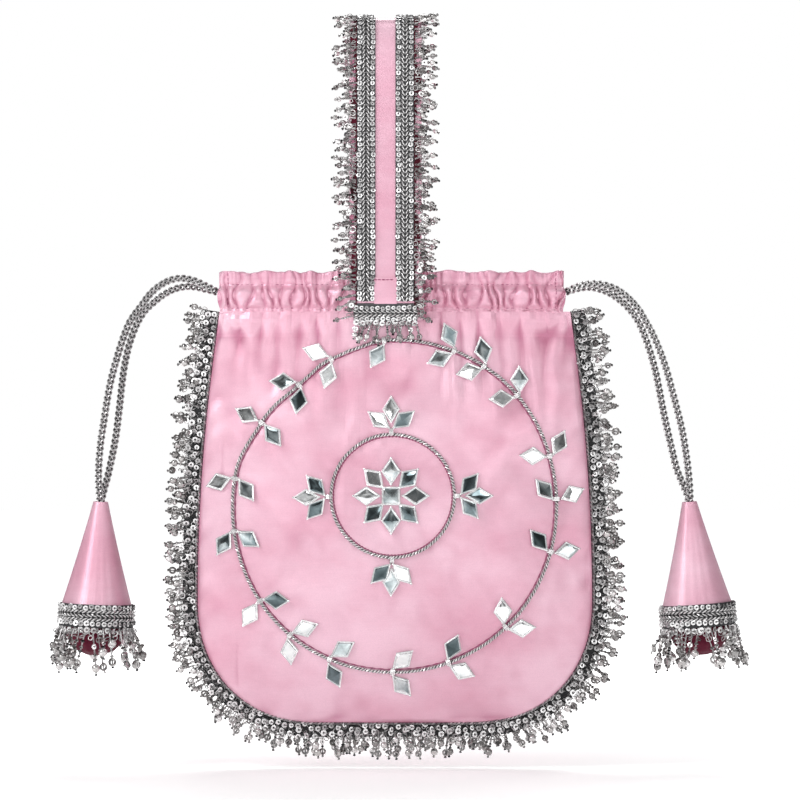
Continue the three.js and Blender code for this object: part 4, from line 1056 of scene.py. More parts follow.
# Strings of beads
def add_string(beads, threads, root, heading, normal, length, rng, end_bead):
    """A string of a fringe: twisted threads, seed beads, and an end bead with its stopper."""
    side = np.cross(heading, normal)
    ahead = unit(heading + side * rng.normal(0, 0.2) + normal * rng.normal(0, 0.2))
    sag = np.array([0, 0, -1]) * rng.uniform(0.0, 0.14) + side * rng.normal(0, 0.06)

    def place(d):
        return root + ahead * d + sag * d * d / max(length, 1)

    steps = np.linspace(0, 0.97, 6)
    for turn in (0, math.pi):
        twist = steps * length / 1.9 + turn
        line = np.array([
            place(t * length) + (np.cos(a) * side + np.sin(a) * normal) * 0.3 for t, a in zip(steps, twist)
        ])
        threads.append(rod(line, 0.25, 4, normal + 0.01 * side, tint=rng.uniform(0.25, 0.85)))
    tone = rng.choice([0.15, 0.38, 0.58, 0.9], p=[0.22, 0.32, 0.28, 0.18])
    style = rng.random()
    d = 0.34 * length
    if style < 0.3:
        beads.add("loop", place(0.28 * length), normal + ahead * rng.normal(0, 0.5), (1.5, 1.6), tone)
        d = 0.5 * length
    elif style < 0.5:
        beads.add("bugle", place(0.35 * length), ahead, (0.66, 1.9), tone)
        d = 0.35 * length + 2.6
    elif style < 0.72:
        axis = normal + rng.normal(0, 0.25, 3)
        beads.add("sequin", place(0.42 * length) + normal * 0.8, axis, (1.5, 1.2), 1.3)
        d = 0.6 * length
    stop = length - 2 * end_bead - 0.6
    while d < stop:
        size = rng.uniform(0.66, 0.95) * end_bead / 1.85
        beads.add("seed", place(d), ahead, (size, size * 0.95), np.clip(tone + rng.normal(0, 0.14), 0, 1))
        d += size * rng.uniform(1.6, 2.4)
    bead_size = end_bead * rng.uniform(0.85, 1.06)
    if rng.random() < 0.5:
        axis = unit(normal + rng.normal(0, 0.35, 3))
        size = (bead_size, bead_size * 1.5)
        beads.add("ring", place(length - bead_size - 0.7), axis, size, rng.uniform(0.25, 0.7))
    else:
        axis = unit(ahead + rng.normal(0, 0.7, 3))
        beads.add("round", place(length - bead_size - 0.9), axis, bead_size, rng.uniform(0.4, 0.95))
    beads.add("seed", place(length - 0.4), ahead, 0.75, rng.choice([0.0, 0.1, 0.5]))


def fringe_strings(line, headings, normals, pitch, lengths, seed, spread, end_bead, cluster=0):
    """Strings along a line, as beads and threads. cluster: how far apart the longest ones are, 0 for
    lengths at random"""
    rng = np.random.default_rng(seed)
    beads, threads = Scatter(), []
    track = Track(line, normals, headings)
    for t in np.arange(pitch / 2, track.length, pitch):
        at = float(np.clip(t + rng.normal(0, 0.3), 0, track.length))
        normal = track.normal(at)
        root = track.place(at) + normal * rng.uniform(-spread, spread)
        if cluster:
            share = (0.5 + 0.5 * math.cos(at / cluster * TAU)) ** 1.6 + rng.normal(0, 0.12)
            length = lerp(*lengths, float(np.clip(share, 0, 1)))
        else:
            length = rng.uniform(*lengths) * (0.7 if rng.random() < 0.2 else 1)
        add_string(beads, threads, root, track.heading(at), normal, length, rng, end_bead)
    return beads.form(), join(threads)


def sequin_row(beads, line, normals, pitch, size=SEQUIN, tones=(0.4, 1.0), tilt=0.2, wobble=0.3):
    """Sequins along a line, each leaning a little over the next, with the thread that holds it."""
    track = Track(line, normals)
    count = max(1, round(track.length / pitch))
    for t in (np.arange(count) + 0.5) * track.length / count:
        ahead, normal = track.ahead(t), track.normal(t)
        axis = unit(normal + ahead * tilt * RNG.uniform(0.4, 1.6) + RNG.normal(0, 0.17, 3))
        centre = track.place(t) + np.cross(ahead, normal) * RNG.normal(0, wobble)
        radius = size / 2 * RNG.uniform(0.88, 1.08)
        # Painted highlight: a tone at random from grey to white for each sequin
        beads.add("sequin", centre, axis, (radius, 1.0), RNG.uniform(*tones))
        held = centre + ahead * radius * 0.5 + axis * 0.3
        along = ahead + RNG.normal(0, 0.3, 3)
        beads.add("stitch", held, along, (0.22, radius * 0.55), RNG.uniform(0, 0.4), normal)


def thread_loops(beads, line, headings, normals, pitch, out, size):
    """Little loops of silver thread beside a line, standing all ways."""
    track = Track(line, normals, headings)
    for t in np.arange(pitch / 2, track.length, pitch):
        normal = track.normal(t)
        centre = track.place(t) + track.heading(t) * (out + RNG.normal(0, 0.7)) + normal * RNG.normal(0, 0.4)
        axis = unit(normal + RNG.normal(0, 0.75, 3))
        beads.add("loop", centre, axis, (size * RNG.uniform(0.6, 1.15), 1.7), RNG.uniform(0.1, 0.75))


def chain_edge(line, normals, forms, beads):
    """A dark cord with pale stitches slanting over it; the cord's dark tone is painted shadow along the
    trim's inner edge.
    """
    forms.append(rod(spaced(line, 1.4), 0.75, 6, (0.01, -1, 0.01), tint=0.22))
    track = Track(line, normals)
    for t in np.arange(1, track.length, 2.2):
        ahead, normal = track.ahead(t), track.normal(t)
        slant = unit(ahead + np.cross(normal, ahead) * 0.55)
        place = track.place(t) + normal * 0.55
        beads.add("stitch", place, slant, (0.46, 0.95), RNG.uniform(0.15, 1.0), normal)


# The fringe of the seam
def seam_line():
    """Points and outward directions along the seam, from the top left round to the top right."""
    share = np.linspace(0, 1, 400)
    down = 1 - (1 - share) ** 1.6
    z = BODY_TOP - down * BODY_HEIGHT
    left = np.stack([BAG_SHIFT - half_width(down), np.zeros_like(z), z], axis=1)
    right = np.stack([BAG_SHIFT + half_width(down), np.zeros_like(z), z], axis=1)[::-1]
    line = spaced(np.vstack([left, right]), 1.0)
    ahead = tangents(line)
    return line, np.stack([ahead[:, 2], np.zeros(len(line)), -ahead[:, 0]], axis=1)


def make_seam_fringe():
    line, out = seam_line()
    forward = np.tile([0.0, -1.0, 0.0], (len(line), 1))
    sequins, loops = Scatter(), Scatter()
    edges = []
    top, low = line - out * 0.8, line + out * 8.0
    net = loft(np.stack([
        top + forward * 0.1, low + forward * 0.3, low - forward * 0.3, top - forward * 0.1,
    ], axis=1), tint=0.1)
    for sign in (1, -1):
        face = forward * sign
        chain_edge(line + out * 0.8 + face * 1.35, face, edges, loops)
        sequin_row(
            sequins, line + out * 3.1 + face * 1.75, face, 3.5,
            size=3.0, tones=(0.1, 1.2), tilt=0.35, wobble=0.95,
        )
        sequin_row(
            sequins, line + out * 6.3 + face * 1.7, face, 4.4,
            size=3.3, tones=(0.3, 1.4), tilt=0.5, wobble=1.4,
        )
        thread_loops(loops, line, out + face * 0.35, face, 2.3, out=2.5, size=1.25)
        thread_loops(loops, line, out, face, 2.6, out=5.0, size=1.5)
        thread_loops(loops, line, out, face, 2.6, out=7.8, size=1.6)
    make_piece(
        "seam_trim",
        [(net, NET), (join(edges), THREAD), (sequins.form(), SEQUINS), (loops.form(), THREAD)],
        ["seam_fringe"],
    )
    strings, threads = fringe_strings(
        line + out * 5.2, out, forward, 1.8, (8.2, 14.2), seed=5, spread=1.6, end_bead=2.05
    )
    make_piece("seam_strings", [(strings, GLASS), (threads, THREAD)])


# The embroidery
# Stems on the vine. angle: degrees round the ring, outer and inner: the leaves' headings
STEMS = table(
    "angle outer inner",
    (93.7, None, 240), (114, 162, 254), (129, 176, 260), (148.5, 153, 308), (170.6, 197, 308),
    (189, 238, 326), (214.8, 238, 358), (230.5, 276, 19), (246.8, 293, 32), (269.5, 310, 44),
    (289.4, 337, 67), (313.3, 4, 95), (343.9, 7, 130), (2.1, 22, 133), (17.5, 62, 177),
    (41.3, 91, 186), (56.7, 102, 193), (68.7, 115, 202),
)
# Three mirrors each, outside the inner ring. spread: degrees from the middle one to the others
CLUSTERS = table(
    "name angle spread", ("top", 91, 52), ("left", 181, 48), ("bottom", 269, 44), ("right", 0, 50)
)


def way_to(degrees):
    """A direction of the front view, as x and z."""
    return np.stack([np.cos(np.radians(degrees)), np.sin(np.radians(degrees))], axis=-1)


def vine_point(degrees):
    return RING_CENTRE + np.multiply.outer(ring_share(degrees), RING_HALF) * way_to(degrees)


def inner_point(degrees):
    return INNER_CENTRE + INNER_RADIUS * way_to(degrees)


def on_cloth(place, lift):
    """Points of the front view laid on the cloth, raised by lift along its face's direction."""
    x, z = place[:, 0], place[:, 1]
    up = outward_at(x, z, 1.0)
    return np.stack([x, front_face(x, z), z], axis=1) + up * lift, up


def rope_shadow_line(outline, centre):
    """A dark line of stitches just inside a sewn rope: painted shadow of the rope on the cloth."""
    degrees = np.linspace(0, 360, 720, endpoint=False)
    place = outline(degrees)
    place = place - unit(place - centre) * (ROPE_RADIUS + 0.15)
    line, up = on_cloth(place, 0.05)
    return rod(line, 0.3 + 0.12 * np.sin(degrees * 1.9), 5, up, True, 0.0)


def sewn_rope(outline):
    degrees = np.linspace(0, 360, 1440, endpoint=False)
    place = outline(degrees)
    line = spaced(np.stack([place[:, 0], np.zeros(len(place)), place[:, 1]], axis=1), 0.72, True)
    line, up = on_cloth(line[:, [0, 2]], ROPE_RADIUS + 0.25)
    return rope(line, up, ROPE_RADIUS, ROPE_PITCH, True, 1.25)


def lay(form, x, z, heading, reach, tilt=(0, 0), lift=GAP):
    """A form made in XY, laid on the cloth with its X axis along the heading."""
    centre, up, rise = seat(x, z, reach)
    turn = math.radians(heading)
    forward = np.array([math.cos(turn), 0, math.sin(turn)])
    forward = unit(forward - up * (forward @ up))
    side = np.cross(up, forward)
    tipped = unit(up + forward * tilt[0] + side * tilt[1])
    forward = unit(forward - tipped * (forward @ tipped))
    side = np.cross(tipped, forward)
    return form.moved(np.stack([forward, side, tipped], axis=1), centre + up * (rise + lift))


def lozenge(length, width, share, z):
    corners = [(length / 2, 0), (0, width / 2), (-length / 2, 0), (0, -width / 2)]
    return [(x * share, y * share, z) for x, y in corners]


def faceted_glass(length, width):
    """A lozenge of mirror glass: a broad face that is a little domed, four facets and four corners."""
    top, share = STONE_HEIGHT - 0.6, 0.76
    foot = lozenge(length, width, 0.92, 0.2)
    girdle = lozenge(length, width, 0.92, 0.8)
    low = np.array(lozenge(length, width, share, top))
    rim = [lerp(low[k], low[other % 4], 0.07) for k in range(4) for other in (k - 1, k + 1)]
    points = [*foot, *girdle, *rim]
    quads, tris = [(0, 3, 2, 1)], []
    for k in range(4):
        m = (k + 1) % 4
        quads.append((k, m, 4 + m, 4 + k))
        quads.append((4 + k, 4 + m, 8 + 2 * m, 8 + 2 * k + 1))
        tris.append((4 + k, 8 + 2 * k + 1, 8 + 2 * k))
    peak = np.array([*RNG.uniform(-1.6, 1.6, 2), top + RNG.uniform(-0.1, 0.4)])
    points.append(peak)
    for k in range(8):
        tris.append((len(points) - 1, 8 + k, 8 + (k + 1) % 8))
    # Painted reflection: each mirror gets a tone from dark to white, and near-white sides, for what its glass
    # reflects
    tone = RNG.choice([0.2, 0.42, 0.62, 1.0], p=[0.2, 0.26, 0.22, 0.32])
    tint = tone + RNG.uniform(-0.22, 0.3, len(points))
    tint[:8] = 0.95
    return Form(points, quads, tris, tint).outward()


def silver_setting(length, width):
    """The stone's tray, its wire border and the little balls at its points."""
    tray = loft([lozenge(length, width, *row) for row in ((1.0, 0), (1.0, 0.6), (0.93, 0.75))], tint=0.6)
    corners = np.array(lozenge(length, width, 0.95, 0.95))
    outline = spaced(corners, 0.95, True)
    beaded = 0.46 * (1 + 0.14 * np.sin(np.arange(len(outline)) * TAU / 2.6))
    wire = rod(outline, beaded, 4, (0, 0, 1), True, 0.9)
    balls = Scatter()
    for k, size in ((0, 0.6), (1, 0.4), (2, 0.6), (3, 0.4)):
        balls.add("seed", corners[k] * (1.01, 1.01, 1.1), (0, 0, 1), size, 0.9, (1, 0, 0))
    return join([tray, wire, balls.form()])


def stone(x, z, heading, length=LEAF_LENGTH, width=LEAF_WIDTH, steep=0.075):
    """A mirror and its setting on the cloth, tipped a little its own way."""
    tilt = RNG.uniform(-steep, steep, 2)
    reach = length * 0.42
    return (
        lay(faceted_glass(length, width), x, z, heading, reach, tilt),
        lay(silver_setting(length, width), x, z, heading, reach, tilt),
    )


def stem_knot(x, z, heading):
    """Silver wire wound over the rope where two leaves are held."""
    wraps = []
    for shift in (-0.75, 0, 0.75):
        turn = np.linspace(0, math.pi, 9)
        arch = np.stack([1.75 * np.cos(turn), np.full(9, shift), 0.15 + 2.15 * np.sin(turn)], axis=1)
        wraps.append(rod(arch, 0.42, 5, (0, 1, 0), tint=0.75))
    return lay(join(wraps), x, z, heading, 2.0, lift=0.1)


def make_mirrors(name, node, stones, knots=()):
    """A piece of mirrors. stones: pairs of glass and setting, knots: the wire that holds them"""
    glass, settings = zip(*stones)
    make_piece(name, [(join(glass), MIRROR), (join([*knots, *settings]), SEQUINS)], [node], 25)


def make_embroidery():
    for name, outline, centre in (("vine", vine_point, RING_CENTRE), ("inner", inner_point, INNER_CENTRE)):
        # The dark line inside each rope is painted shadow
        parts = [(sewn_rope(outline), THREAD), (rope_shadow_line(outline, centre), STITCH)]
        make_piece(f"{name}_rope", parts, [f"{name}_ring"])
    for number, row in enumerate(STEMS, 1):
        make_leaves(number, row)
    for row in CLUSTERS:
        make_cluster(row)
    make_flower()


def make_leaves(number, row):
    """One or two mirrors that point away from a stem on the vine."""
    foot = vine_point(row["angle"])
    ahead = unit(vine_point(row["angle"] + 1) - vine_point(row["angle"] - 1))
    outward = np.array([ahead[1], -ahead[0]])
    stones = []
    for sign, heading in ((1, row["outer"]), (-1, row["inner"])):
        if heading is not None:
            base = foot + outward * sign * (ROPE_RADIUS + GAP * 2)
            stones.append(stone(*(base + way_to(heading) * LEAF_LENGTH / 2), heading))
    knot = stem_knot(*foot, math.degrees(math.atan2(outward[1], outward[0])))
    make_mirrors(f"mirror_leaves_{number:02d}", f"leaf_pair_{number:02d}", stones, [knot])


def make_cluster(row):
    """Three mirrors fanned out from a stem on the inner ring."""
    outward = way_to(row["angle"])
    root = inner_point(row["angle"]) + outward * (ROPE_RADIUS + GAP + 1.2)
    knot = stem_knot(*(root - outward * 1.2), row["angle"])
    beside, beyond = 0.5 * LEAF_LENGTH + 1, 0.72 * LEAF_LENGTH
    stones = []
    for turn, far in ((-row["spread"], beside), (0, beyond), (row["spread"], beside)):
        heading = row["angle"] + turn
        stones.append(stone(*(root + way_to(heading) * far), heading, width=LEAF_WIDTH * 0.92))
    make_mirrors(f"mirror_cluster_{row['name']}", f"cluster_{row['name']}", stones, [knot])


def make_flower():
    """Eight mirror petals round a square one."""
    square = FLOWER_SQUARE * math.sqrt(2)
    stones = [stone(*FLOWER_CENTRE, 45, square, square, 0.03)]
    for heading in range(0, 360, 45):
        place = FLOWER_CENTRE + PETAL_DISTANCE * way_to(heading)
        stones.append(stone(*place, heading, width=PETAL_WIDTH))
    make_mirrors("mirror_flower", "flower", stones)


# The strap
def strap_line():
    """The strap's middle line, from the front foot over the top to the back foot."""
    top = LOOP_RADIUS + STRAP_THICKNESS / 2
    belly = STRAP_BELLY - 1.1
    side = [
        (STRAP_FOOT, CASING_BOTTOM - 5),
        (STRAP_BELLY, TUNNEL_MIDDLE - TUNNEL_RADIUS),
        (STRAP_BELLY, TUNNEL_MIDDLE + 2),
        (STRAP_BELLY - 0.6, HEADER_TOP),
        (lerp(top, belly - 0.3, 0.62), HEADER_TOP * 0.62),
        (lerp(top, belly - 0.3, 0.2), HEADER_TOP * 0.28),
        (top, -LOOP_RADIUS),
        (top * math.sqrt(0.5), -LOOP_RADIUS + top * math.sqrt(0.5)),
    ]
    front = [(0, -y, z) for y, z in side]
    back = [(0, y, z) for y, z in side][::-1]
    return smooth_line([*front, (0, 0, STRAP_THICKNESS / 2), *back], STRAP_STEP)


strap_middle = strap_line()
strap_ahead = tangents(strap_middle)
strap_out = np.stack([np.zeros(len(strap_middle)), -strap_ahead[:, 2], strap_ahead[:, 1]], axis=1)


def sideways(distances):
    """Moves across the strap, one for each distance."""
    return np.stack([distances, 0 * distances, 0 * distances], axis=1)


def beside_strap(x, n, short):
    """The strap's line moved across by x and out by n, short at both ends."""
    travelled = travelled_along(strap_middle)
    kept = (travelled >= short) & (travelled <= travelled[-1] - short)
    return (strap_middle + strap_out * n + np.array([x, 0, 0]))[kept], strap_out[kept]


def strap_skin(line, out, columns, n):
    """A grid of points over the strap's line. columns: distances across, n: distances out"""
    return line[:, None] + out[:, None] * n[..., None] + sideways(columns)


def make_strap():
    half = STRAP_WIDTH / 2
    columns = np.linspace(-half, half, 17)
    share = columns / half
    thickness = STRAP_THICKNESS / 2 * (1 - 0.5 * np.abs(share) ** 10)
    travelled = np.arange(len(strap_middle))[:, None] * STRAP_STEP
    waves = 0.12 * np.sin(travelled / 9 + columns / 8) + 0.06 * np.sin(travelled / 4.1)
    waves = waves * (1 - share**4)
    skins = [strap_skin(strap_middle, strap_out, columns, layer * thickness + waves) for layer in (1, -1)]
    strap = make_piece("strap_cloth", [(sheet_form(*skins), PINK)], ["handle_strap"], 60)
    make_strap_ends()


def make_strap_ends():
    """The strap's turned-up ends between the trims, each with a row of stitches across its top."""
    travelled = travelled_along(strap_middle)
    kept = (travelled > ANCHOR_HEIGHT - 1) & (travelled < ANCHOR_HEIGHT + 13.5)
    columns = np.linspace(-BRAID_INNER - 0.6, BRAID_INNER + 0.6, 12)
    bulge = 0.12 * np.cos(columns / 3.1) * np.sin(travelled[kept] / 2.3)[:, None]
    face = STRAP_THICKNESS / 2
    patches, stitches = [], Scatter()
    for way in (1, -1):
        line, out = strap_middle[::way][kept], strap_out[::way][kept]
        skins = [strap_skin(line, out, columns, n + bulge) for n in (face + 0.75, face - 0.2)]
        patches.append(sheet_form(*skins))
        for x in np.arange(-BRAID_INNER, BRAID_INNER + 0.1, 2.1):
            place = line[-2] + out[-2] * (face + 0.8) + np.array([x, 0, 0])
            stitches.add("stitch", place, (1, 0, 0), (0.34, 0.75), RNG.uniform(0, 0.3), out[-2])
    ends = make_piece("strap_ends", [(join(patches), PINK), (stitches.form(), STITCH)], sharp=60)


def braid_rows(lines, low, high):
    """A trim's net, two ropes and two rows of sequins. lines(x): line and normals at x across,
    low, high: where the trim begins and ends"""
    width = high - low
    net_low, normals = lines(low)
    net = ribbon(net_low, lines(high)[0], normals * 0.5, 0.8)
    beads, ropes = Scatter(), []
    for share in (0.15, 0.8):
        line, normals = lines(low + width * share)
        sequin_row(
            beads, line + normals * 1.1, normals, 2.7,
            size=BRAID_SEQUIN, tones=(0.35, 1.3), tilt=0.15, wobble=0.2,
        )
    for share, way in ((0.385, 1), (0.585, -1)):
        line, normals = lines(low + width * share)
        raised = spaced(line + normals * (0.5 + BRAID_ROPE * 0.8), 0.85)
        up = read_at(np.linspace(0, 1, len(raised)), np.linspace(0, 1, len(normals)), normals)
        ropes.append(rope(raised, up, BRAID_ROPE, TRIM_ROPE_PITCH, tint=1.5, way=way))
    return net, join(ropes), beads.form()


def shaded_edge_ribbon(sign, lift, phase):
    """Cloth that shows in places between the roots of the strap's fringe, with a worn edge, in the darkest
    tint: painted shade of the strap's cloth there.
    """
    inner, normals = beside_strap(sign * (BRAID_OUTER - 0.5), STRAP_THICKNESS / 2 + lift, 6)
    walk = np.arange(len(inner)) + phase
    reach = 1.7 + 1.5 * np.sin(walk / 5.3) + 0.7 * np.sin(walk / 2.1) + 0.4 * np.sin(walk / 0.83)
    reach = np.clip(reach, 0.6, 3.4)
    # Darkest tint: painted shade
    return ribbon(inner, inner + sideways(sign * reach), normals * 0.4, 0.0)


def make_handle_trims():
    foot = ANCHOR_HEIGHT + 0.6
    for side, sign in (("left", -1), ("right", 1)):
        braid = braid_rows(lambda x: beside_strap(sign * x, TRIM_HEIGHT, foot), BRAID_INNER, BRAID_OUTER)
        make_piece(f"braid_{side}", zip(braid, TRIM_LOOKS), [f"handle_braid_{side}"])
        line, normals = beside_strap(sign * BRAID_OUTER, TRIM_HEIGHT + 0.8, 2)
        heading = np.tile([float(sign), 0.0, 0.0], (len(line), 1))
        loops = Scatter()
        thread_loops(loops, line, heading, normals, 3.4, out=0.6, size=1.3)
        thread_loops(loops, line, heading, normals, 3.4, out=3.2, size=1.5)
        strings, threads = fringe_strings(
            line, heading, normals, 2.65, (5.6, 13.0),
            seed=20 + sign, spread=0.3, end_bead=1.65, cluster=EDGE_CLUSTER,
        )
        # The strap's edge cloth in painted shade: dark satin and darkened pink between the fringe's roots
        parts = [
            (strings, GLASS), (threads, THREAD), (loops.form(), THREAD),
            (shaded_edge_ribbon(sign, 0.35, 10 * sign), SHADED_SATIN), (shaded_edge_ribbon(sign, -0.1, 7 + 4 * sign), PINK),
        ]
        make_piece(f"strap_fringe_{side}", parts, [f"handle_fringe_{side}"])
    make_anchor("front", -1)
    make_anchor("back", 1)


def make_anchor(name, facing):
    """The trim across a foot of the strap, and its hanging fringe."""
    track = Track(strap_middle[::-facing][:ANCHOR_POINTS], strap_out[::-facing][:ANCHOR_POINTS])
    xs = np.arange(-ANCHOR_HALF, ANCHOR_HALF + 0.5, 1.0)

    def across_at(distance):
        normal = track.normal(distance)
        line = track.place(distance) + normal * TRIM_HEIGHT + sideways(xs)
        return line, np.tile(normal, (len(xs), 1))

    trim = braid_rows(across_at, 0.2, ANCHOR_HEIGHT)
    make_piece(f"anchor_trim_{name}", zip(trim, TRIM_LOOKS), [f"anchor_braid_{name}"])
    line, normal = across_at(0.4)
    heading = unit(np.stack([xs / ANCHOR_HALF * 0.28, 0 * xs, -np.ones(len(xs))], axis=1))
    loops, beads = Scatter(), Scatter()
    thread_loops(loops, line, heading, normal, 2.7, out=1.8, size=1.6)
    sequin_row(beads, line + heading * 1.0 + normal * 0.9, normal, 3.2)
    strings, threads = fringe_strings(
        line, heading, normal, 2.6, (9.5, 12.4), seed=40 + facing, spread=0.2, end_bead=1.7
    )
    fringe = zip((strings, threads, loops.form(), beads.form()), FRINGE_LOOKS)
    make_piece(f"anchor_strings_{name}", fringe, [f"anchor_fringe_{name}"])


# The tassels
def cone_radius(down):
    return lerp(CONE_NECK_RADIUS, CONE_BASE_RADIUS, np.clip(down / CONE_HEIGHT, 0, 1))


def hung(form, side):
    """A form made with the tassel's neck at the origin, moved to its place and lean."""
    x, z, lean = TASSELS[side]
    c, s = math.cos(math.radians(lean)), math.sin(math.radians(lean))
    return form.moved([[c, 0, s], [0, 1, 0], [-s, 0, c]], (x, 0, z))


def cone_form(seed):
    """The satin cone: a wall with soft folds that run down from the cords, with painted shade in their
    valleys.
    """
    rng = np.random.default_rng(seed)
    down = np.linspace(0, CONE_HEIGHT + BAND_HEIGHT * 0.8, 40)[:, None]
    turn = full_turn(80)[None]
    spacing = CORD_SPACING / 2 * np.clip(1 - down / CONE_HEIGHT, 0, 1)
    folds = 0
    for count in (2, 3, 4):
        folds = folds + rng.uniform(0.5, 0.8) / count * np.sin(count * turn + rng.uniform(0, TAU) + down / 38)
    swell = -0.25 * np.sin(np.clip(down / CONE_HEIGHT, 0, 1) * math.pi)
    seam = -0.35 * np.exp(-(((np.mod(turn + down / 90, TAU) - 2.2) / 0.05) ** 2))
    skins = []
    for radius in (
        cone_radius(down) + (folds * 0.75 + seam) * np.clip(down / CONE_HEIGHT, 0.1, 1) + swell,
        lerp(CONE_NECK_RADIUS - 1.05, CONE_BASE_RADIUS - CLOTH, np.clip(down / CONE_HEIGHT, 0, 1)) + 0 * turn,
    ):
        x = radius * np.cos(turn)
        y = radius * np.sin(turn) + np.tanh(3 * np.sin(turn)) * spacing
        skins.append(np.stack([x, y, -down + 0 * turn], axis=2))
    # Painted shade: darker in the folds' valleys and along the seam
    tint = np.clip(0.5 + 0.45 * (folds + seam) * np.clip(down / CONE_HEIGHT, 0, 1), 0, 0.5)
    return loft(np.concatenate([skins[0], skins[1][::-1]]), True, np.concatenate([tint, tint[::-1]]).ravel())


def base_form():
    """The cloth gathered under the cone, in a dark satin: painted shade of the pink satin there."""
    turn = full_turn(72)[None]
    top, bottom = -CONE_HEIGHT + 1.6, -CONE_HEIGHT - BAND_HEIGHT
    profile = [
        (14.6, top), (15.8, bottom), (15.2, bottom - 4),
        (13.2, bottom - 8.5), (9.5, bottom - 12.3), (4, bottom - 14.6),
    ]
    fine = np.linspace(0, 1, 22)
    radius, z = read_at(fine, np.linspace(0, 1, len(profile)), profile).T[..., None]
    pleat = 0.55 * np.sin(12 * turn) + 0.3 * np.sin(19 * turn + 1)
    radius = radius * (1 + 0.05 * pleat * smoothstep(fine, 0.2, 0.6)[:, None])
    rings = np.stack([radius * np.cos(turn), radius * np.sin(turn), z + 0 * turn], axis=2)
    return loft(rings)


def round_line(radius, z, count=90):
    turn = np.arange(count + 1) / count * TAU
    out = np.stack([np.cos(turn), np.sin(turn), 0 * turn], axis=1)
    return out * radius + np.array([0, 0, z]), out


def band_forms():
    """Net, ropes and sequins round the cone's foot."""
    top = -CONE_HEIGHT + 0.3
    bottom = top - BAND_HEIGHT
    low = CONE_BASE_RADIUS + 0.6
    net = lathe([(low - 0.2, top), (low + 0.3, top), (low + 0.7, bottom), (low - 0.2, bottom)], 48, 0.3)
    beads, ropes = Scatter(), []
    for share in (0.12, 0.80):
        line, out = round_line(low + 1.0 + 0.4 * share, top - BAND_HEIGHT * share)
        sequin_row(beads, line, out, 3.1, size=3.0, tones=(0.1, 1.1))
    for share, way in ((0.3, 1), (0.47, -1), (0.64, 1)):
        line, out = round_line(low + 0.9, top - BAND_HEIGHT * share, 130)
        ropes.append(rope(line[:-1], out[:-1], 1.0, TRIM_ROPE_PITCH, True, 1.5, way))
    return net, join(ropes), beads.form()


def tassel_fringe_forms(seed):
    """Strings that hang and flare from the band, with sequins at their roots."""
    line, out = round_line(CONE_BASE_RADIUS + 0.9, -CONE_HEIGHT - BAND_HEIGHT + 0.4)
    heading = unit(out * 0.24 + np.array([0, 0, -1]))
    loops, beads = Scatter(), Scatter()
    thread_loops(loops, line, heading, out, 3.0, out=2.2, size=1.8)
    thread_loops(loops, line, heading, out, 4.1, out=5.4, size=1.7)
    sequin_row(beads, line + heading * 1.6, out, 3.6, wobble=0.5)
    strings, threads = fringe_strings(
        line, heading, out, 3.1, (16.0, 23.2), seed=seed, spread=0.2, end_bead=2.4
    )
    return strings, threads, loops.form(), beads.form()


def tassel_piece(name, side, node, forms, looks, sharp=50):
    """A piece of one tassel. forms: made with the tassel's neck at the origin"""
    parts = [(hung(form, side), look) for form, look in zip(forms, looks)]
    return make_piece(f"{name}_{side}", parts, [f"tassel_{node}_{side}"], sharp)


def make_tassels():
    """Both tassels. Returns the pieces of each side that hang on its cords."""
    made = {}
    for side, seed in (("left", 61), ("right", 62)):
        cone = tassel_piece("cone", side, "cone", [cone_form(seed)], [PINK], CLOTH_ANGLE)
        cone.data.shade_smooth()
        band = tassel_piece("band", side, "band", band_forms(), TRIM_LOOKS)
        strings = tassel_fringe_forms(seed)
        fringe = tassel_piece("tassel_strings", side, "fringe", strings, FRINGE_LOOKS)
        # The filling's dark satin is painted shade
        base = tassel_piece("tassel_filling", side, "base", [base_form()], [SHADED_SATIN], 80)
        knot = tassel_piece("knot", side, "knot", [knot_form()], [THREAD])
        made[side] = [cone, band, fringe, base, knot]
    return made


def knot_form():
    """The cords' knot inside the cone: cord wound round their ends."""
    turn = np.linspace(0, 3.5 * TAU, 90)
    down = KNOT_TOP + turn / TAU * 1.7
    radius = 2.9 + 0.11 * (down - KNOT_TOP)
    deep = np.tanh(3 * np.sin(turn)) * CORD_SPACING * 0.35
    line = np.stack([radius * np.cos(turn), radius * np.sin(turn) + deep, -down], axis=1)
    core = np.array([(0, 0, -KNOT_TOP - 0.4), (0, 0, -KNOT_TOP - 5.6)])
    return join([rope(line, (0, 0, 1), 0.85, 4.0, tint=0.8), rod(core, 2.4, 12, (0, -1, 0), tint=0.2)])


def make_drawstring_runs():
    """The strings inside the casing: in at their own end in front, round the far end, and back."""
    offset = (RUN_DIAMETER + GAP) / 2
    turn_share = (CASING_HALF - RUN_DIAMETER / 2 - CASING_WALL - CASING_END_DEPTH) / CASING_HALF
    t = np.linspace(0, 1, 10)
    share = lerp(-0.998, turn_share, t)
    twist = lerp(math.pi / 2, -math.pi / 2, t)

    def leg(own, facing):
        return np.stack([
            CASING_SHIFT - own * share * CASING_HALF,
            facing * (casing_depth(share) + own * offset * np.cos(twist)),
            TUNNEL_MIDDLE + offset * np.sin(twist),
        ], axis=1)

    for side, own in (("left", -1), ("right", 1)):
        bend = [(
            CASING_SHIFT - own * (turn_share * CASING_HALF + CASING_END_DEPTH * math.cos(a)),
            casing_depth(turn_share) * math.sin(a),
            TUNNEL_MIDDLE - offset,
        ) for a in np.radians([-58, -29, 0, 29, 58])]
        line = smooth_line(np.vstack([leg(own, -1), bend, leg(own, 1)[::-1]]), 2.4)
        form = plait(line, (0, 0, 1), RUN_DIAMETER / 2, RUN_PITCH, 3)
        make_piece(f"drawstring_{side}", [(form, THREAD)], [f"drawstring_run_{side}"])


# The studio, in metres
FLOOR_HALF = 6.0


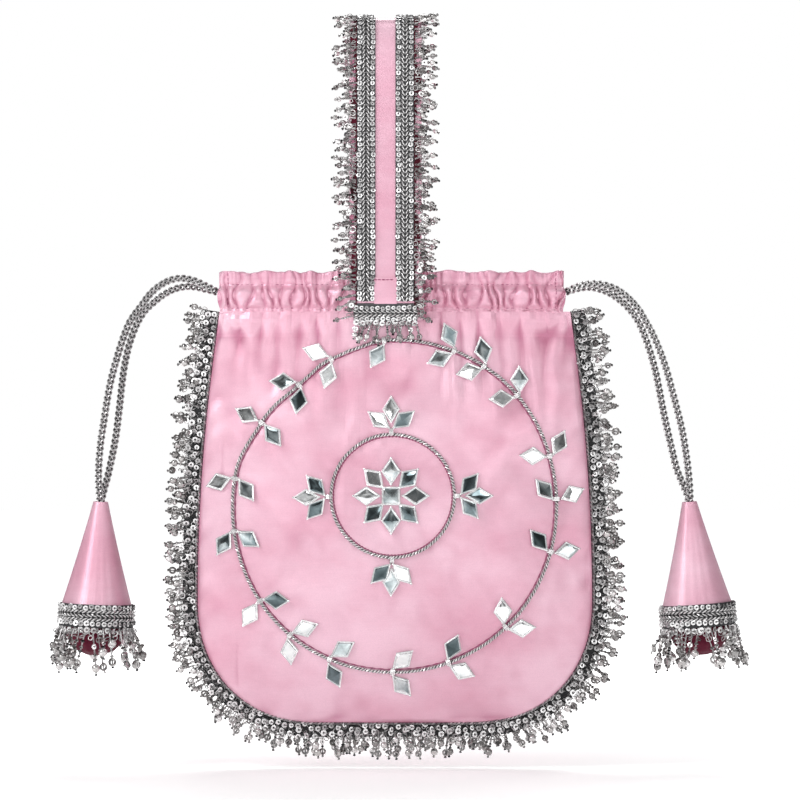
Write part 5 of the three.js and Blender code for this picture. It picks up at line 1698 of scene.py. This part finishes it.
def make_stage():
    """A white paper floor that glows away from the bag, so that it has no end."""
    material, shader = new_material("floor_paper", Roughness=0.9, Emission_Color=(1, 1, 1, 1))
    paper = noise(material, stretched(material, (30, 30, 30)), detail=2)
    link(material, ramp(material, paper, [(0.3, 0.94), (0.7, 0.96)]), shader, "Base Color")
    place = add_node(material, "ShaderNodeTexCoord").outputs["Object"]
    far = add_node(material, "ShaderNodeVectorMath", {0: place}, operation="LENGTH").outputs["Value"]
    glow = maths(material, "MULTIPLY", maths(material, "SUBTRACT", far, 0.22), 1.5)
    link(material, add_node(material, "ShaderNodeClamp", {0: glow}).outputs[0], shader, "Emission Strength")
    mesh = bpy.data.meshes.new("floor")
    corners = [(-1, -1), (1, -1), (1, 1), (-1, 1)]
    mesh.from_pydata([(x * FLOOR_HALF, y * FLOOR_HALF, FLOOR * MM) for x, y in corners], [], [(0, 1, 2, 3)])
    mesh.materials.append(material)
    floor = new_object("floor", mesh)


def add_light(name, place, size, power, target=(0, 0, -0.25)):
    light = bpy.data.lights.new(name, "AREA")
    light.shape = "RECTANGLE"
    light.size, light.size_y = size
    light.energy = power
    made = new_object(name, light)
    made.location = place
    made.rotation_euler = (Vector(target) - Vector(place)).to_track_quat("-Z", "Y").to_euler()


def make_lights():
    add_light("key", (-0.95, -0.65, 0.5), (0.5, 0.8), 9)
    add_light("front_left", (-0.65, -2.2, 0.45), (0.6, 0.6), 4)
    add_light("front_right", (0.75, -2.2, 0.35), (0.6, 0.6), 4.2)
    add_light("side", (1.3, -0.9, 0.0), (0.4, 1.0), 2.2)
    add_light("top", (0.2, -0.1, 1.1), (1.0, 0.6), 3)
    add_light("back", (0.2, 1.1, 0.8), (1.4, 0.6), 15, (0, 0.5, -0.39))


def make_world():
    """White for the camera. For reflections: bright above and towards the camera, dark behind."""
    world = bpy.data.worlds.new("studio")
    bpy.context.scene.world = world
    world.use_nodes = True
    way = add_node(world, "ShaderNodeTexCoord").outputs["Generated"]
    apart = add_node(world, "ShaderNodeSeparateXYZ", {0: way})
    share = {axis: maths(world, "MULTIPLY_ADD", apart.outputs[axis], 0.5, 0.5) for axis in ("Y", "Z")}
    height = ramp(world, share["Z"], [(0.0, 0.6), (0.40, 0.6), (0.52, 0.55), (0.7, 0.7), (1.0, 0.8)])
    depth = ramp(
        world, share["Y"], [(0.0, 1.0), (0.06, 0.85), (0.16, 0.34), (0.5, 0.16), (0.75, 0.08), (1.0, 0.04)]
    )
    patches = noise(world, way, 9.0, 1.5)
    cloudy = ramp(world, patches, [(0.40, 0.1), (0.50, 0.6), (0.56, 1.0)])
    light = darkened(world, 0.85, darkened(world, 1.0, height, depth), cloudy)
    studio = add_node(world, "ShaderNodeBackground", {"Color": light, "Strength": 1.25})
    white = add_node(world, "ShaderNodeBackground", {"Color": (1, 1, 1, 1), "Strength": 1.0})
    seen = add_node(world, "ShaderNodeLightPath").outputs["Is Camera Ray"]
    mix = add_node(world, "ShaderNodeMixShader", {0: seen, 1: studio.outputs[0], 2: white.outputs[0]})
    link(world, mix.outputs[0], world.node_tree.nodes["World Output"], "Surface")
    bpy.context.scene.view_settings.view_transform = "Standard"


make_pouch()
make_seam_fringe()
make_embroidery()
make_strap()
make_handle_trims()
make_drawstring_runs()
make_tassels()
make_stage()
make_lights()
make_world()
